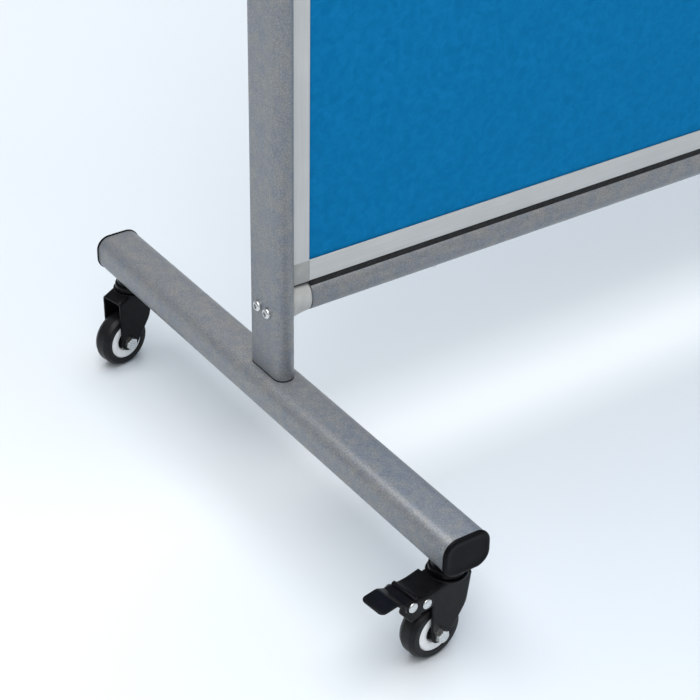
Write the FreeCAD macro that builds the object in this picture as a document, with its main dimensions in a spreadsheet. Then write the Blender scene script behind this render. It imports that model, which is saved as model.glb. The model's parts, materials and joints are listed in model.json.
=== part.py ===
import FreeCAD, Part
import math
import os
import re
import Sketcher

# Rolling partition: a felt panel in an aluminium frame, held by two flat-oval uprights that stand
# on tubular feet with swivel casters.
#
# X runs along the panel, Y through it (the front is -Y) and Z up. The origin is on the floor, under
# the middle of the panel. Sizes are millimetres and angles degrees.

App = FreeCAD
Vector = App.Vector

# ---------------------------------------------------------------------------- driving dimensions
SIZES = (
    ("overall_height", 1800, "floor to the top of the upright caps"),
    ("upright_spacing", 1180, "centre to centre of the uprights"),
    # clearances
    ("fit_gap", 0.15, "round a plug, block or screw in its hole or tube"),
    ("running_gap", 0.3, "between faces that move past each other"),
    ("shaft_gap", 0.05, "radial, round a shaft or thread in its bore"),
    ("seam_gap", 0.4, "between the end of a bar and the shoulder of its socket"),
    # uprights: flat-oval tube
    ("upright_depth", 48, "along Y"),
    ("upright_thickness", 18, "along X"),
    ("upright_wall", 1.5, "of the tube"),
    ("upright_cap_height", 4, "above the tube"),
    ("upright_plug_depth", 14, "of the cap in the tube"),
    ("base_seal_thickness", 1, "between upright and foot"),
    ("base_block_height", 22, "threaded block in the upright's lower end"),
    # feet: tube with rounded corners
    ("foot_length", 524, "of the tube without its end caps"),
    ("foot_width", 41, "along X"),
    ("foot_height", 32, "along Z"),
    ("foot_corner", 12, "outer corner radius"),
    ("foot_wall", 2, "of the tube"),
    ("foot_cap_flange", 3, "thickness of the end cap outside the tube"),
    ("foot_cap_proud", 0.7, "how far the end cap stands out round the tube"),
    ("foot_cap_shell", 2, "wall of the end cap's plug"),
    ("foot_bolt_size", 8, "thread"),
    ("foot_bolt_spacing", 26, "along Y"),
    ("foot_bolt_grip", 14, "length of the bolt in the base block"),
    ("foot_bolt_head", 13, "across the flats"),
    ("foot_bolt_head_height", 4.5, "below the foot"),
    # cross bars: round tube
    ("bar_diameter", 30, "of both cross bars"),
    ("bar_wall", 1.5, "of the tube"),
    ("lower_bar_height", 181.5, "floor to the lower bar's axis"),
    ("upper_bar_drop", 40, "top of the partition down to the upper bar's axis"),
    ("socket_length", 20, "upright to the socket's shoulder"),
    ("socket_flange", 35, "diameter of the socket at the upright"),
    ("socket_edge", 1.2, "radius of the socket's edge at the upright"),
    ("socket_plug_length", 34, "of the socket in the bar"),
    ("socket_screw_size", 6, "thread"),
    ("socket_screw_spacing", 14, "along Y"),
    ("socket_screw_drop", 4, "bar's axis to the screws, away from the panel"),
    ("socket_screw_grip", 30, "length of the screw in the socket"),
    ("socket_screw_head", 9.5, "diameter"),
    ("socket_screw_head_height", 3.2, "outside the upright"),
    ("socket_screw_key", 4, "across the flats of the recess in the head"),
    ("socket_screw_key_depth", 2, "of the recess"),
    ("screw_head_round", 2.4, "radius of a button head's edge"),
    # panel frame: profile with a hollow chamber on the outside and a slot on the inside
    ("frame_face", 19, "width of the profile seen from the front"),
    ("frame_depth", 22, "along Y"),
    ("frame_wall", 1.5, "of the profile"),
    ("frame_chamber", 5, "inside of the chamber"),
    ("frame_side_gap", 0.3, "between the frame and each upright"),
    ("corner_leg", 28, "length of a corner's leg in the profile"),
    ("gasket_thickness", 1, "between a cross bar and the frame"),
    ("gasket_width", 21.6, "along Y"),
    ("gasket_skirt", 4.2, "how far the gasket's edges reach down round the bar"),
    # panel
    ("core_thickness", 16, "along Y"),
    ("fabric_thickness", 1.2, "of the felt on each side"),
    ("fabric_pinch", 0.3, "how much thinner the felt is under the frame's lips"),
    ("fabric_edge_gap", 0.5, "between the thick part of the felt and the frame's lips"),
    ("core_edge_gap", 0.5, "between the panel's edge and the bottom of the slot"),
    ("panel_screw_size", 5, "thread"),
    ("panel_screw_inset", 130, "end of a cross bar to its outer screws"),
    ("panel_screw_head", 9, "diameter"),
    ("panel_screw_head_height", 3, "outside the bar"),
    # caster mounts
    ("front_caster_turn", 6, "angle of the front casters from the panel's direction"),
    ("rear_caster_turn", 12, "angle of the rear casters from the panel's direction"),
    ("stem_inset", 24, "from the outer face of the foot's end cap"),
    ("stem_diameter", 10, "thread"),
    ("stem_tail", 3, "of the stem above its nut"),
    ("stem_nut_width", 16, "across the flats"),
    ("stem_nut_height", 8, "inside the foot"),
    ("neck_diameter", 25, "under the foot"),
    ("neck_height", 7, "between foot and cup"),
    ("cup_diameter", 29, "of the fixed race over the fork"),
    ("cup_height", 5.7, "of the fixed race"),
    ("cup_skirt", 1.4, "wall round the balls"),
    ("cup_edge", 1.5, "radius of the cup's upper edge"),
    ("kingpin_diameter", 8, "through the fork's crown"),
    ("kingpin_head", 13, "diameter"),
    ("kingpin_head_height", 2.5, "under the crown"),
    ("ball_diameter", 2.4, "in the swivel"),
    ("ball_count", 10, "in each swivel"),
    # forks
    ("fork_headroom", 21, "top of the wheel to the fork's crown"),
    ("fork_plate", 2, "thickness"),
    ("fork_slack", 3, "how much wider the fork is inside than the wheel"),
    ("fork_shoulder", 3.5, "outer radius of the bend between crown and leg"),
    ("fork_front", 14.5, "swivel axis to the front of the crown"),
    ("fork_rear", 24, "swivel axis to the rear of the crown"),
    ("crown_slope_start", 12, "swivel axis to where the crown begins to slope to its rear edge"),
    ("front_crown_drop", 2.3, "of that slope on a front caster"),
    ("rear_crown_drop", 4.3, "of that slope on a rear caster"),
    ("fork_brow", 4, "straight part of the leg's front edge, below the crown's top"),
    ("fork_knee_reach", 26, "axle to the front edge of the leg"),
    ("fork_knee_rise", 18, "of that place above the axle"),
    ("fork_notch_rise", 32, "axle to the notch in the leg's rear edge, under the ears"),
    ("fork_round", 5, "corner radius of the leg"),
    ("fork_tip", 8, "axle to the edges of the leg's tip"),
    ("fork_tip_round", 7.5, "corner radius of the tip"),
    ("crown_diameter", 33, "of the round plate under the cup"),
    # wheels
    ("wheel_diameter", 50, "over the tread"),
    ("wheel_width", 17, "along the axle"),
    ("wheel_trail", 15.5, "swivel axis to axle"),
    ("tread_width", 9, "of the flat part of the tread"),
    ("shoulder_drop", 2.2, "tread to the edge of the tyre's side"),
    ("tyre_round", 3, "radius between tread and shoulder"),
    ("tyre_edge", 1.2, "radius of the edge of the tyre's side"),
    ("hub_diameter", 35, "inside the tyre"),
    ("hub_ring", 8.2, "width of the raised ring on the hub"),
    ("hub_boss", 13, "diameter of the hub's middle"),
    ("hub_web", 8, "thickness between boss and ring"),
    ("axle_diameter", 6, "of the bolt"),
    ("axle_nut_width", 10, "across the flats"),
    ("axle_nut_height", 5, "outside the fork"),
    ("axle_tail", 1.5, "of the bolt past its nut"),
    # brakes: lengths are measured from the pedal's pivot, inwards or outwards from the wheel
    ("pivot_reach", 32, "swivel axis to the pivot"),
    ("pivot_drop", 8.5, "top of the fork's crown down to the pivot"),
    ("brake_ear", 4.6, "fork plate round the pivot"),
    ("brake_ear_round", 4.2, "corner radius of the ears"),
    ("rivet_diameter", 4, "shank of the pedal's rivets"),
    ("rivet_head", 8.5, "diameter"),
    ("rivet_head_height", 1.8, "outside the pedal"),
    ("rivet_round", 1.5, "radius of the rivet head's edge"),
    ("link_reach", 14, "pivot out to the second rivet"),
    ("link_rise", 3.8, "pivot up to the second rivet"),
    ("brake_press", 22, "how far the pedal turns to lock the wheel"),
    ("pedal_plate", 1.5, "thickness"),
    ("pedal_width", 25, "of the part that a foot presses"),
    ("hood_reach", 14.5, "pivot in to the end of the pedal's hood"),
    ("hood_rise", 7.9, "pivot up to the hood's underside there"),
    ("bend_reach", 2.5, "pivot out to the bend over it"),
    ("bend_rise", 5.4, "pivot up to the underside there"),
    ("ledge_start", 8, "pivot out to the start of the level part"),
    ("ledge_end", 20, "pivot out to the end of the level part"),
    ("ledge_rise", 7.2, "pivot up to the underside there"),
    ("crest_reach", 27.5, "pivot out to the pedal's crest"),
    ("crest_rise", 10.9, "pivot up to the underside there"),
    ("crest_round", 6, "radius of the crest"),
    ("tip_reach", 42.6, "pivot out to the pedal's end"),
    ("tip_rise", 9.5, "pivot up to the underside there"),
    ("ridge_reach", 10.5, "pivot out to the middle of the ridge across the pedal"),
    ("ridge_height", 2, "of the ridge"),
    ("ridge_width", 4, "of the ridge"),
    ("ridge_round", 1.6, "radius of the ridge's edges"),
    ("flange_reach", 7, "pivot in to the end of the side flanges"),
    ("flange_drop", 6, "pivot down to the flanges' lower edge"),
    ("flange_rise", 1, "pivot up to the flanges' outer corner"),
    ("flange_round", 4, "corner radius of the flanges"),
    ("shoe_width", 13, "along the axle"),
    ("shoe_pad", 2.6, "thickness of the part that presses on the tyre"),
    ("shoe_eye", 4.4, "plate round the rivets"),
    ("shoe_start", 110, "angle round the wheel where the shoe starts"),
    ("shoe_end", 132, "angle round the wheel where the shoe ends"),
)

# Names for what follows from the driving dimensions.
DERIVED = {
    "half_spacing": "upright_spacing / 2",
    "caster_height": "wheel_diameter + fork_headroom + fork_plate + running_gap + cup_height + neck_height",
    "foot_top": "caster_height + foot_height",
    "foot_plug_depth": "stem_inset - foot_cap_flange - stem_nut_width / sqrt(3) - running_gap",
    "stem_place": "foot_length / 2 + foot_cap_flange - stem_inset",
    "upright_base": "foot_top + base_seal_thickness",
    "upright_length": "overall_height - upright_cap_height - upright_base",
    "upright_inside": "upright_thickness - 2 * upright_wall",
    "upright_inside_depth": "upright_depth - 2 * upright_wall",
    "inner_face": "half_spacing - upright_thickness / 2",
    "outer_face": "half_spacing + upright_thickness / 2",
    "bar_radius": "bar_diameter / 2",
    "bar_length": "2 * (inner_face - socket_length - seam_gap)",
    "upper_bar_height": "overall_height - upper_bar_drop",
    "frame_bottom": "lower_bar_height + bar_radius + gasket_thickness",
    "frame_top": "upper_bar_height - bar_radius - gasket_thickness",
    "frame_middle": "(frame_bottom + frame_top) / 2",
    "frame_width": "2 * (inner_face - frame_side_gap)",
    "frame_height": "frame_top - frame_bottom",
    "slot_half": "frame_depth / 2 - frame_wall",
    "slot_floor": "frame_chamber + 2 * frame_wall",
    "core_width": "frame_width - 2 * (slot_floor + core_edge_gap)",
    "core_height": "frame_height - 2 * (slot_floor + core_edge_gap)",
    "panel_screw_place": "bar_length / 2 - panel_screw_inset",
    "crown_under": "wheel_diameter + fork_headroom",
    "crown_top": "crown_under + fork_plate",
    "cup_bottom": "crown_top + running_gap",
    "neck_bottom": "cup_bottom + cup_height",
    "race_roof": "crown_top + ball_diameter + 2 * fit_gap",
    "ball_ring": "cup_diameter / 2 - cup_skirt - running_gap - ball_diameter / 2",
    "stem_length": "foot_wall + stem_nut_height + stem_tail",
    "wheel_radius": "wheel_diameter / 2",
    "fork_inside": "wheel_width + fork_slack",
    "fork_outside": "fork_inside + 2 * fork_plate",
    "hub_length": "fork_inside - 2 * running_gap",
    "hub_ring_inside": "hub_diameter / 2 - hub_ring",
    "pivot_height": "crown_top - pivot_drop",
    "pedal_inside": "fork_outside + 2 * running_gap",
    "pedal_outside": "pedal_inside + 2 * pedal_plate",
    "shoe_face": "wheel_radius + running_gap",
    "shoe_wheel_x": "pivot_reach - wheel_trail",
    "shoe_wheel_z": "wheel_radius - pivot_height",
}

doc = App.newDocument("rolling_partition")
sheet = doc.addObject("Spreadsheet::Sheet", "Dims")
for row, (alias, size, note) in enumerate(SIZES, start=1):
    sheet.set("A%d" % row, alias)
    sheet.set("B%d" % row, str(size))
    sheet.setAlias("B%d" % row, alias)
    sheet.set("C%d" % row, note)
doc.recompute()

ALIASES = {alias for alias, size, note in SIZES}


def formula(text):
    """Turns the plain names in a formula into spreadsheet references."""
    def swap(match):
        name = match.group(0)
        if name in DERIVED:
            return "(" + formula(DERIVED[name]) + ")"
        return "Dims." + name if name in ALIASES else name
    return re.sub("[a-z_]+", swap, text)


def number(text):
    """The present value of a formula."""
    return float(sheet.evalExpression(formula(text)))


def place(thing, x="0", y="0", z="0", axis=(0, 0, 1), angle=0):
    """Puts a sub-part where formulas say. The angle is a number, or a formula that stays bound."""
    if isinstance(angle, str):
        thing.Placement = App.Placement(Vector(), App.Rotation(Vector(*axis), number(angle)))
        thing.setExpression("Placement.Rotation.Angle", formula(angle))
    else:
        thing.Placement = App.Placement(Vector(), App.Rotation(Vector(*axis), angle))
    thing.setExpression("Placement.Base.x", formula(x))
    thing.setExpression("Placement.Base.y", formula(y))
    thing.setExpression("Placement.Base.z", formula(z))
    return thing


# ------------------------------------------------------------------------------------- sketching
def fix(sketch, kind, elements, text):
    """Adds a constraint whose value is a formula."""
    index = sketch.addConstraint(Sketcher.Constraint(kind, *elements, number(text)))
    name = "size_%d" % index
    sketch.renameConstraint(index, name)
    sketch.setExpression("Constraints." + name, formula(text))


def fix_point(sketch, element, x, y):
    """Holds a point of the sketch at x, y."""
    fix(sketch, "DistanceX", (-1, 1) + element, x)
    fix(sketch, "DistanceY", (-1, 1) + element, y)


def circle(radius, x="0", y="0"):
    """A circle, to be drawn in a sketch."""
    def draw(sketch):
        centre = Vector(number(x), number(y), 0)
        index = sketch.addGeometry(Part.Circle(centre, Vector(0, 0, 1), number(radius)))
        fix(sketch, "Radius", (index,), radius)
        fix_point(sketch, (index, 3), x, y)
    return draw


def outline(*corners):
    """A closed outline of straight sides. A corner is (x, y) or (x, y, radius), all formulas."""
    def draw(sketch):
        points = [Vector(number(corner[0]), number(corner[1]), 0) for corner in corners]
        count = len(points)
        starts, middles, ends, left_turns = [], [], [], []
        for i, point in enumerate(points):
            radius = number(corners[i][2]) if len(corners[i]) > 2 else 0
            back = (points[i - 1] - point).normalize()
            ahead = (points[(i + 1) % count] - point).normalize()
            half = back.getAngle(ahead) / 2
            starts.append(point + back * (radius / math.tan(half)))
            ends.append(point + ahead * (radius / math.tan(half)))
            middles.append(point + (back + ahead).normalize() * (radius / math.sin(half) - radius))
            left_turns.append(back.cross(ahead).z < 0)
        sides = []
        for i in range(count):
            sides.append(sketch.addGeometry(Part.LineSegment(ends[i], starts[(i + 1) % count])))
        for i, corner in enumerate(corners):
            if len(corner) > 2:
                arc = sketch.addGeometry(Part.Arc(starts[i], middles[i], ends[i]))
                first, last = (1, 2) if left_turns[i] else (2, 1)
                sketch.addConstraint(Sketcher.Constraint("Tangent", sides[i - 1], 2, arc, first))
                sketch.addConstraint(Sketcher.Constraint("Tangent", arc, last, sides[i], 1))
                fix(sketch, "Radius", (arc,), corner[2])
                held = sketch.addGeometry(Part.Point(points[i]), True)
                sketch.addConstraint(Sketcher.Constraint("PointOnObject", held, 1, sides[i - 1]))
                sketch.addConstraint(Sketcher.Constraint("PointOnObject", held, 1, sides[i]))
            else:
                held = sides[i]
                sketch.addConstraint(Sketcher.Constraint("Coincident", sides[i - 1], 2, sides[i], 1))
            fix_point(sketch, (held, 1), corner[0], corner[1])
    return draw


def box(left, right, low, high, radius=None):
    """A rectangle between four formulas, with or without a corner radius."""
    tail = () if radius is None else (radius,)
    places = ((left, low), (right, low), (right, high), (left, high))
    return outline(*[spot + tail for spot in places])


def obround(depth, thickness):
    """An outline with two round ends, longest along the sketch's y, round the origin."""
    def draw(sketch):
        radius = number(thickness) / 2
        reach = number(depth) / 2 - radius
        axis = Vector(0, 0, 1)
        tops = Part.Circle(Vector(0, reach, 0), axis, radius)
        bottoms = Part.Circle(Vector(0, -reach, 0), axis, radius)
        top = sketch.addGeometry(Part.ArcOfCircle(tops, 0, math.pi))
        bottom = sketch.addGeometry(Part.ArcOfCircle(bottoms, math.pi, 2 * math.pi))
        right = sketch.addGeometry(Part.LineSegment(Vector(radius, -reach, 0), Vector(radius, reach, 0)))
        left = sketch.addGeometry(Part.LineSegment(Vector(-radius, reach, 0), Vector(-radius, -reach, 0)))
        ring = ((bottom, 2, right, 1), (right, 2, top, 1), (top, 2, left, 1), (left, 2, bottom, 1))
        for joint in ring:
            sketch.addConstraint(Sketcher.Constraint("Tangent", *joint))
        sketch.addConstraint(Sketcher.Constraint("Equal", top, bottom))
        fix(sketch, "Radius", (top,), "(%s) / 2" % thickness)
        fix_point(sketch, (top, 3), "0", "((%s) - (%s)) / 2" % (depth, thickness))
        fix_point(sketch, (bottom, 3), "0", "((%s) - (%s)) / 2" % (thickness, depth))
    return draw


def hexagon(width, x="0", y="0"):
    """A regular hexagon given across its flats, with a corner towards +x."""
    corners = []
    for step in range(6):
        away_x = "%s + (%s) / sqrt(3) * cos(%d)" % (x, width, 60 * step)
        away_y = "%s + (%s) / sqrt(3) * sin(%d)" % (y, width, 60 * step)
        corners.append((away_x, away_y))
    return outline(*corners)


# -------------------------------------------------------------------------------------- features
# A prism runs from start to end along its plane's normal, which is Z for XY, the front for XZ and
# X for YZ. Sketches on XZ read x and z, sketches on YZ read y and z.
def new_body(label):
    body = doc.addObject("PartDesign::Body", label)
    body.Label = label
    return body


def new_feature(body, kind, plane, height, shapes, turn="0"):
    """A feature on a sketch of its own, lifted along the plane's normal and turned about it."""
    sketch = body.newObject("Sketcher::SketchObject", body.Name + "_sketch")
    base = [feature for feature in body.Origin.OriginFeatures if feature.Role == plane][0]
    sketch.AttachmentSupport = (base, [""])
    sketch.MapMode = "FlatFace"
    if turn != "0":
        sketch.AttachmentOffset = App.Placement(Vector(), App.Rotation(Vector(0, 0, 1), number(turn)))
        sketch.setExpression("AttachmentOffset.Rotation.Angle", formula(turn))
    sketch.setExpression("AttachmentOffset.Base.z", formula(height))
    for draw in shapes:
        draw(sketch)
    feature = body.newObject("PartDesign::" + kind, body.Name + "_" + kind.lower())
    feature.Profile = (sketch, [""])
    return feature


def pad(body, plane, start, end, *shapes, turn="0"):
    feature = new_feature(body, "Pad", plane, start, shapes, turn)
    feature.setExpression("Length", formula("(%s) - (%s)" % (end, start)))


def pocket(body, plane, start, end, *shapes, turn="0"):
    feature = new_feature(body, "Pocket", plane, start, shapes, turn)
    feature.Reversed = True
    feature.setExpression("Length", formula("(%s) - (%s)" % (end, start)))


def revolve(body, plane, axis, *shapes):
    """Turns shapes about an axis of their sketch, "H_Axis" or "V_Axis"."""
    feature = new_feature(body, "Revolution", plane, "0", shapes)
    feature.ReferenceAxis = (feature.Profile[0], [axis])
    feature.Angle = 360


def link(source, **where):
    """One more copy of a body, in its own place."""
    copy = doc.addObject("App::Link", source.Name + "_copy")
    copy.LinkedObject = source
    return place(copy, **where)


def group(label, copies, **where):
    """A sub-part of several separate solids."""
    compound = doc.addObject("Part::Compound", label)
    compound.Label = label
    compound.Links = copies
    return place(compound, **where)


SUBPARTS = []
SIDES = {"left": -1, "right": 1}
ENDS = {"front": -1, "rear": 1}


# --------------------------------------------------------------------------------------- uprights
def make_upright(side):
    """Flat-oval tube with holes through both flats for the screws of its two sockets."""
    body = new_body("upright_" + side)
    tube = (obround("upright_depth", "upright_thickness"), obround("upright_inside_depth", "upright_inside"))
    pad(body, "XY_Plane", "0", "upright_length", *tube)
    holes = []
    for height in ("lower_bar_height - socket_screw_drop", "upper_bar_height + socket_screw_drop"):
        for way in (-1, 1):
            radius = "socket_screw_size / 2 + fit_gap"
            holes.append(circle(radius, "%d * socket_screw_spacing / 2" % way, height + " - upright_base"))
    pocket(body, "YZ_Plane", "-upright_thickness / 2", "upright_thickness / 2", *holes)
    return place(body, x="%d * half_spacing" % SIDES[side], z="upright_base")


def make_upright_cap(side):
    """Plastic cap with a plug in the top of the upright."""
    body = new_body("upright_cap_" + side)
    pad(body, "XY_Plane", "0", "upright_cap_height", obround("upright_depth", "upright_thickness"))
    plug = obround("upright_inside_depth - 2 * fit_gap", "upright_inside - 2 * fit_gap")
    pad(body, "XY_Plane", "-upright_plug_depth", "0", plug)
    return place(body, x="%d * half_spacing" % SIDES[side], z="upright_base + upright_length")


def foot_bolt_holes(gap):
    radius = "foot_bolt_size / 2 + " + gap
    return [circle(radius, "0", "%d * foot_bolt_spacing / 2" % way) for way in (-1, 1)]


def make_base_blocks():
    """A threaded block in the lower end of each upright."""
    block = new_body("base_block")
    solid = obround("upright_inside_depth - 2 * fit_gap", "upright_inside - 2 * fit_gap")
    pad(block, "XY_Plane", "0", "base_block_height", solid, *foot_bolt_holes("shaft_gap"))
    copies = [link(block, x="%d * half_spacing" % way) for way in (-1, 1)]
    return group("upright_base_blocks", copies, z="upright_base")


def make_base_seals():
    """A thin seal between each upright and its foot."""
    seal = new_body("base_seal")
    solid = obround("upright_depth", "upright_thickness")
    pad(seal, "XY_Plane", "0", "base_seal_thickness", solid, *foot_bolt_holes("fit_gap"))
    copies = [link(seal, x="%d * half_spacing" % way) for way in (-1, 1)]
    return group("upright_base_seals", copies, z="foot_top")


for side in SIDES:
    SUBPARTS.append(make_upright(side))
    SUBPARTS.append(make_upright_cap(side))
SUBPARTS.append(make_base_blocks())
SUBPARTS.append(make_base_seals())


# ------------------------------------------------------------------------------------------- feet
def foot_section(grow, radius_grow):
    """The foot's rounded section, larger by grow on each side. Its lowest line is at y = -grow."""
    half = "(foot_width / 2 + (%s))" % grow
    radius = "foot_corner + (%s)" % radius_grow
    return box("-" + half, half, "-(%s)" % grow, "foot_height + (%s)" % grow, radius)


def make_foot_tube(side):
    """Tube along Y with holes for two caster stems and two bolts into the upright."""
    body = new_body("foot_tube_" + side)
    section = (foot_section("0", "0"), foot_section("-foot_wall", "-foot_wall"))
    pad(body, "XZ_Plane", "-foot_length / 2", "foot_length / 2", *section)
    stems = [circle("stem_diameter / 2 + fit_gap", "0", "%d * stem_place" % way) for way in (-1, 1)]
    pocket(body, "XY_Plane", "0", "foot_wall", *stems)
    pocket(body, "XY_Plane", "0", "foot_height", *foot_bolt_holes("fit_gap"))
    return place(body, x="%d * half_spacing" % SIDES[side], z="caster_height")


def make_foot_cap(end, side):
    """Plastic cap with a hollow plug in the end of the foot."""
    body = new_body("foot_cap_%s_%s" % (end, side))
    pad(body, "XZ_Plane", "0", "foot_cap_flange", foot_section("foot_cap_proud", "foot_cap_proud"))
    outside = "-foot_wall - fit_gap"
    inside = outside + " - foot_cap_shell"
    ring = (foot_section(outside, outside), foot_section(inside, inside))
    pad(body, "XZ_Plane", "-foot_plug_depth", "0", *ring)
    half_turn = 0 if end == "front" else 180
    middle = "%d * half_spacing" % SIDES[side]
    return place(body, x=middle, y="%d * foot_length / 2" % ENDS[end], z="caster_height", angle=half_turn)


def make_foot_bolts():
    """Hexagon bolts from below, through foot and seal into the base blocks."""
    bolt = new_body("foot_bolt")
    pad(bolt, "XY_Plane", "-foot_bolt_head_height", "0", hexagon("foot_bolt_head"))
    length = "foot_height + base_seal_thickness + foot_bolt_grip"
    pad(bolt, "XY_Plane", "0", length, circle("foot_bolt_size / 2"))
    copies = []
    for across in (-1, 1):
        for along in (-1, 1):
            spot = {"x": "%d * half_spacing" % across, "y": "%d * foot_bolt_spacing / 2" % along}
            copies.append(link(bolt, **spot))
    return group("foot_bolts", copies, z="caster_height")


for side in SIDES:
    SUBPARTS.append(make_foot_tube(side))
    for end in ENDS:
        SUBPARTS.append(make_foot_cap(end, side))
SUBPARTS.append(make_foot_bolts())


# ------------------------------------------------------------------------------------- cross bars
def panel_screw_holes(radius):
    return [circle(radius, "%d * panel_screw_place" % step, "0") for step in (-1, 0, 1)]


def make_cross_bar(label, height):
    """Round tube with holes for the screws that hold the panel frame."""
    body = new_body(label)
    tube = (circle("bar_radius"), circle("bar_radius - bar_wall"))
    pad(body, "YZ_Plane", "-bar_length / 2", "bar_length / 2", *tube)
    holes = panel_screw_holes("panel_screw_size / 2 + fit_gap")
    pocket(body, "XY_Plane", "-bar_radius", "bar_radius", *holes)
    return place(body, z=height)


def make_bar_socket(label, **where):
    """Socket that flares from the bar to the upright. Its side towards the panel is cut flat."""
    body = new_body(label)
    plug = "bar_radius - bar_wall - fit_gap"
    profile = outline(
        ("0", "0"),
        ("socket_length + socket_plug_length", "0"),
        ("socket_length + socket_plug_length", plug),
        ("socket_length", plug),
        ("socket_length", "bar_radius"),
        ("0", "socket_flange / 2", "socket_edge"),
    )
    revolve(body, "XZ_Plane", "H_Axis", profile)
    spare = box("0", "socket_length", "-socket_flange", "socket_flange")
    pocket(body, "XY_Plane", "bar_radius", "socket_flange", spare)
    screws = []
    for way in (-1, 1):
        spot = "%d * socket_screw_spacing / 2" % way
        screws.append(circle("socket_screw_size / 2 + shaft_gap", spot, "-socket_screw_drop"))
    pocket(body, "YZ_Plane", "0", "socket_screw_grip + fit_gap", *screws)
    return place(body, **where)


# Each socket starts at its upright and points to the middle, with its flat side to the panel.
SOCKETS = {
    "lower_left": {"x": "-inner_face", "z": "lower_bar_height"},
    "lower_right": {"x": "inner_face", "z": "lower_bar_height", "angle": 180},
    "upper_left": {"x": "-inner_face", "z": "upper_bar_height", "axis": (1, 0, 0), "angle": 180},
    "upper_right": {"x": "inner_face", "z": "upper_bar_height", "axis": (0, 1, 0), "angle": 180},
}


def make_socket_screws():
    """Button head screws through the uprights into the sockets, two to each socket."""
    screw = new_body("socket_screw")
    head = "socket_screw_head_height"
    length = "upright_thickness + socket_screw_grip"
    profile = outline(
        ("-" + head, "0"),
        (length, "0"),
        (length, "socket_screw_size / 2"),
        ("0", "socket_screw_size / 2"),
        ("0", "socket_screw_head / 2"),
        ("-" + head, "socket_screw_head / 2", "screw_head_round"),
    )
    revolve(screw, "XZ_Plane", "H_Axis", profile)
    pocket(screw, "YZ_Plane", "-" + head, "socket_screw_key_depth - " + head, hexagon("socket_screw_key"))
    copies = []
    for where in SOCKETS.values():
        for way in (-1, 1):
            low = where["z"] == "lower_bar_height"
            height = where["z"] + (" - " if low else " + ") + "socket_screw_drop"
            spot = {"x": where["x"].replace("inner", "outer"), "y": "%d * socket_screw_spacing / 2" % way}
            turned = 0 if where["x"].startswith("-") else 180
            copies.append(link(screw, z=height, angle=turned, **spot))
    return group("socket_screws", copies)


SUBPARTS.append(make_cross_bar("lower_cross_bar", "lower_bar_height"))
SUBPARTS.append(make_cross_bar("upper_cross_bar", "upper_bar_height"))
for name, where in SOCKETS.items():
    SUBPARTS.append(make_bar_socket("bar_socket_" + name, **where))
SUBPARTS.append(make_socket_screws())


# ------------------------------------------------------------------------------------ panel frame
# The profile lies with its outer edge on the first axis of its sketch: a closed chamber on the
# outside, and a slot for the panel on the inside.
def profile_outline(swap):
    """The profile's outline. With swap its outer edge lies along the sketch's y."""
    wide = "frame_depth / 2"
    corners = [
        ("-" + wide, "0"), (wide, "0"), (wide, "frame_face"), ("slot_half", "frame_face"),
        ("slot_half", "slot_floor"), ("-slot_half", "slot_floor"), ("-slot_half", "frame_face"),
        ("-" + wide, "frame_face"),
    ]
    return outline(*[(y, x) if swap else (x, y) for x, y in corners])


def chamber_outline(swap):
    """The profile's hollow chamber."""
    across = ("-slot_half", "slot_half")
    up = ("frame_wall", "frame_wall + frame_chamber")
    return box(*up, *across) if swap else box(*across, *up)


def make_rail(label, **where):
    """Lower or upper side of the frame, with holes for the screws from the cross bar."""
    body = new_body(label)
    half = "(frame_width / 2 - frame_face)"
    pad(body, "YZ_Plane", "-" + half, half, profile_outline(False), chamber_outline(False))
    pocket(body, "XY_Plane", "0", "slot_floor", *panel_screw_holes("panel_screw_size / 2 + shaft_gap"))
    return place(body, **where)


def make_stile(label, **where):
    """Upright side of the frame."""
    body = new_body(label)
    half = "(frame_height / 2 - frame_face)"
    pad(body, "XY_Plane", "-" + half, half, profile_outline(True), chamber_outline(True))
    return place(body, z="frame_middle", **where)


def make_frame_corners():
    """Corner pieces, each a block the size of the profile with a leg in a rail and one in a stile."""
    corner = new_body("frame_corner")
    half = "frame_depth / 2"
    pad(corner, "XZ_Plane", "-" + half, half, box("0", "frame_face", "0", "frame_face"))
    corner_slot = box("slot_floor", "frame_face", "slot_floor", "frame_face")
    pocket(corner, "XZ_Plane", "-slot_half", "slot_half", corner_slot)
    across = "(slot_half - fit_gap)"
    thick = ("frame_wall + fit_gap", "frame_wall + frame_chamber - fit_gap")
    long_way = ("frame_wall", "frame_face + corner_leg")
    pad(corner, "XZ_Plane", "-" + across, across, box(*long_way, *thick))
    pad(corner, "XZ_Plane", "-" + across, across, box(*thick, *long_way))
    copies = []
    for turn, across, up in ((0, -1, "bottom"), (90, -1, "top"), (180, 1, "top"), (270, 1, "bottom")):
        spot = {"x": "%d * frame_width / 2" % across, "z": "frame_" + up}
        copies.append(link(corner, axis=(0, 1, 0), angle=turn, **spot))
    return group("frame_corners", copies)


def make_gasket(label, **where):
    """Strip between a cross bar and the frame, with a saddle that fits round the bar."""
    body = new_body(label)
    across = ("-gasket_width / 2", "gasket_width / 2")
    strip = box("-frame_width / 2", "frame_width / 2", *across)
    pad(body, "XY_Plane", "0", "gasket_thickness", strip)
    bar_half = "bar_length / 2"
    pad(body, "YZ_Plane", "-" + bar_half, bar_half, box(*across, "-gasket_skirt", "gasket_thickness"))
    pocket(body, "YZ_Plane", "-" + bar_half, bar_half, circle("bar_radius + fit_gap", "0", "-bar_radius"))
    holes = panel_screw_holes("panel_screw_size / 2 + fit_gap")
    pocket(body, "XY_Plane", "-gasket_skirt", "gasket_thickness", *holes)
    return place(body, **where)


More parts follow.
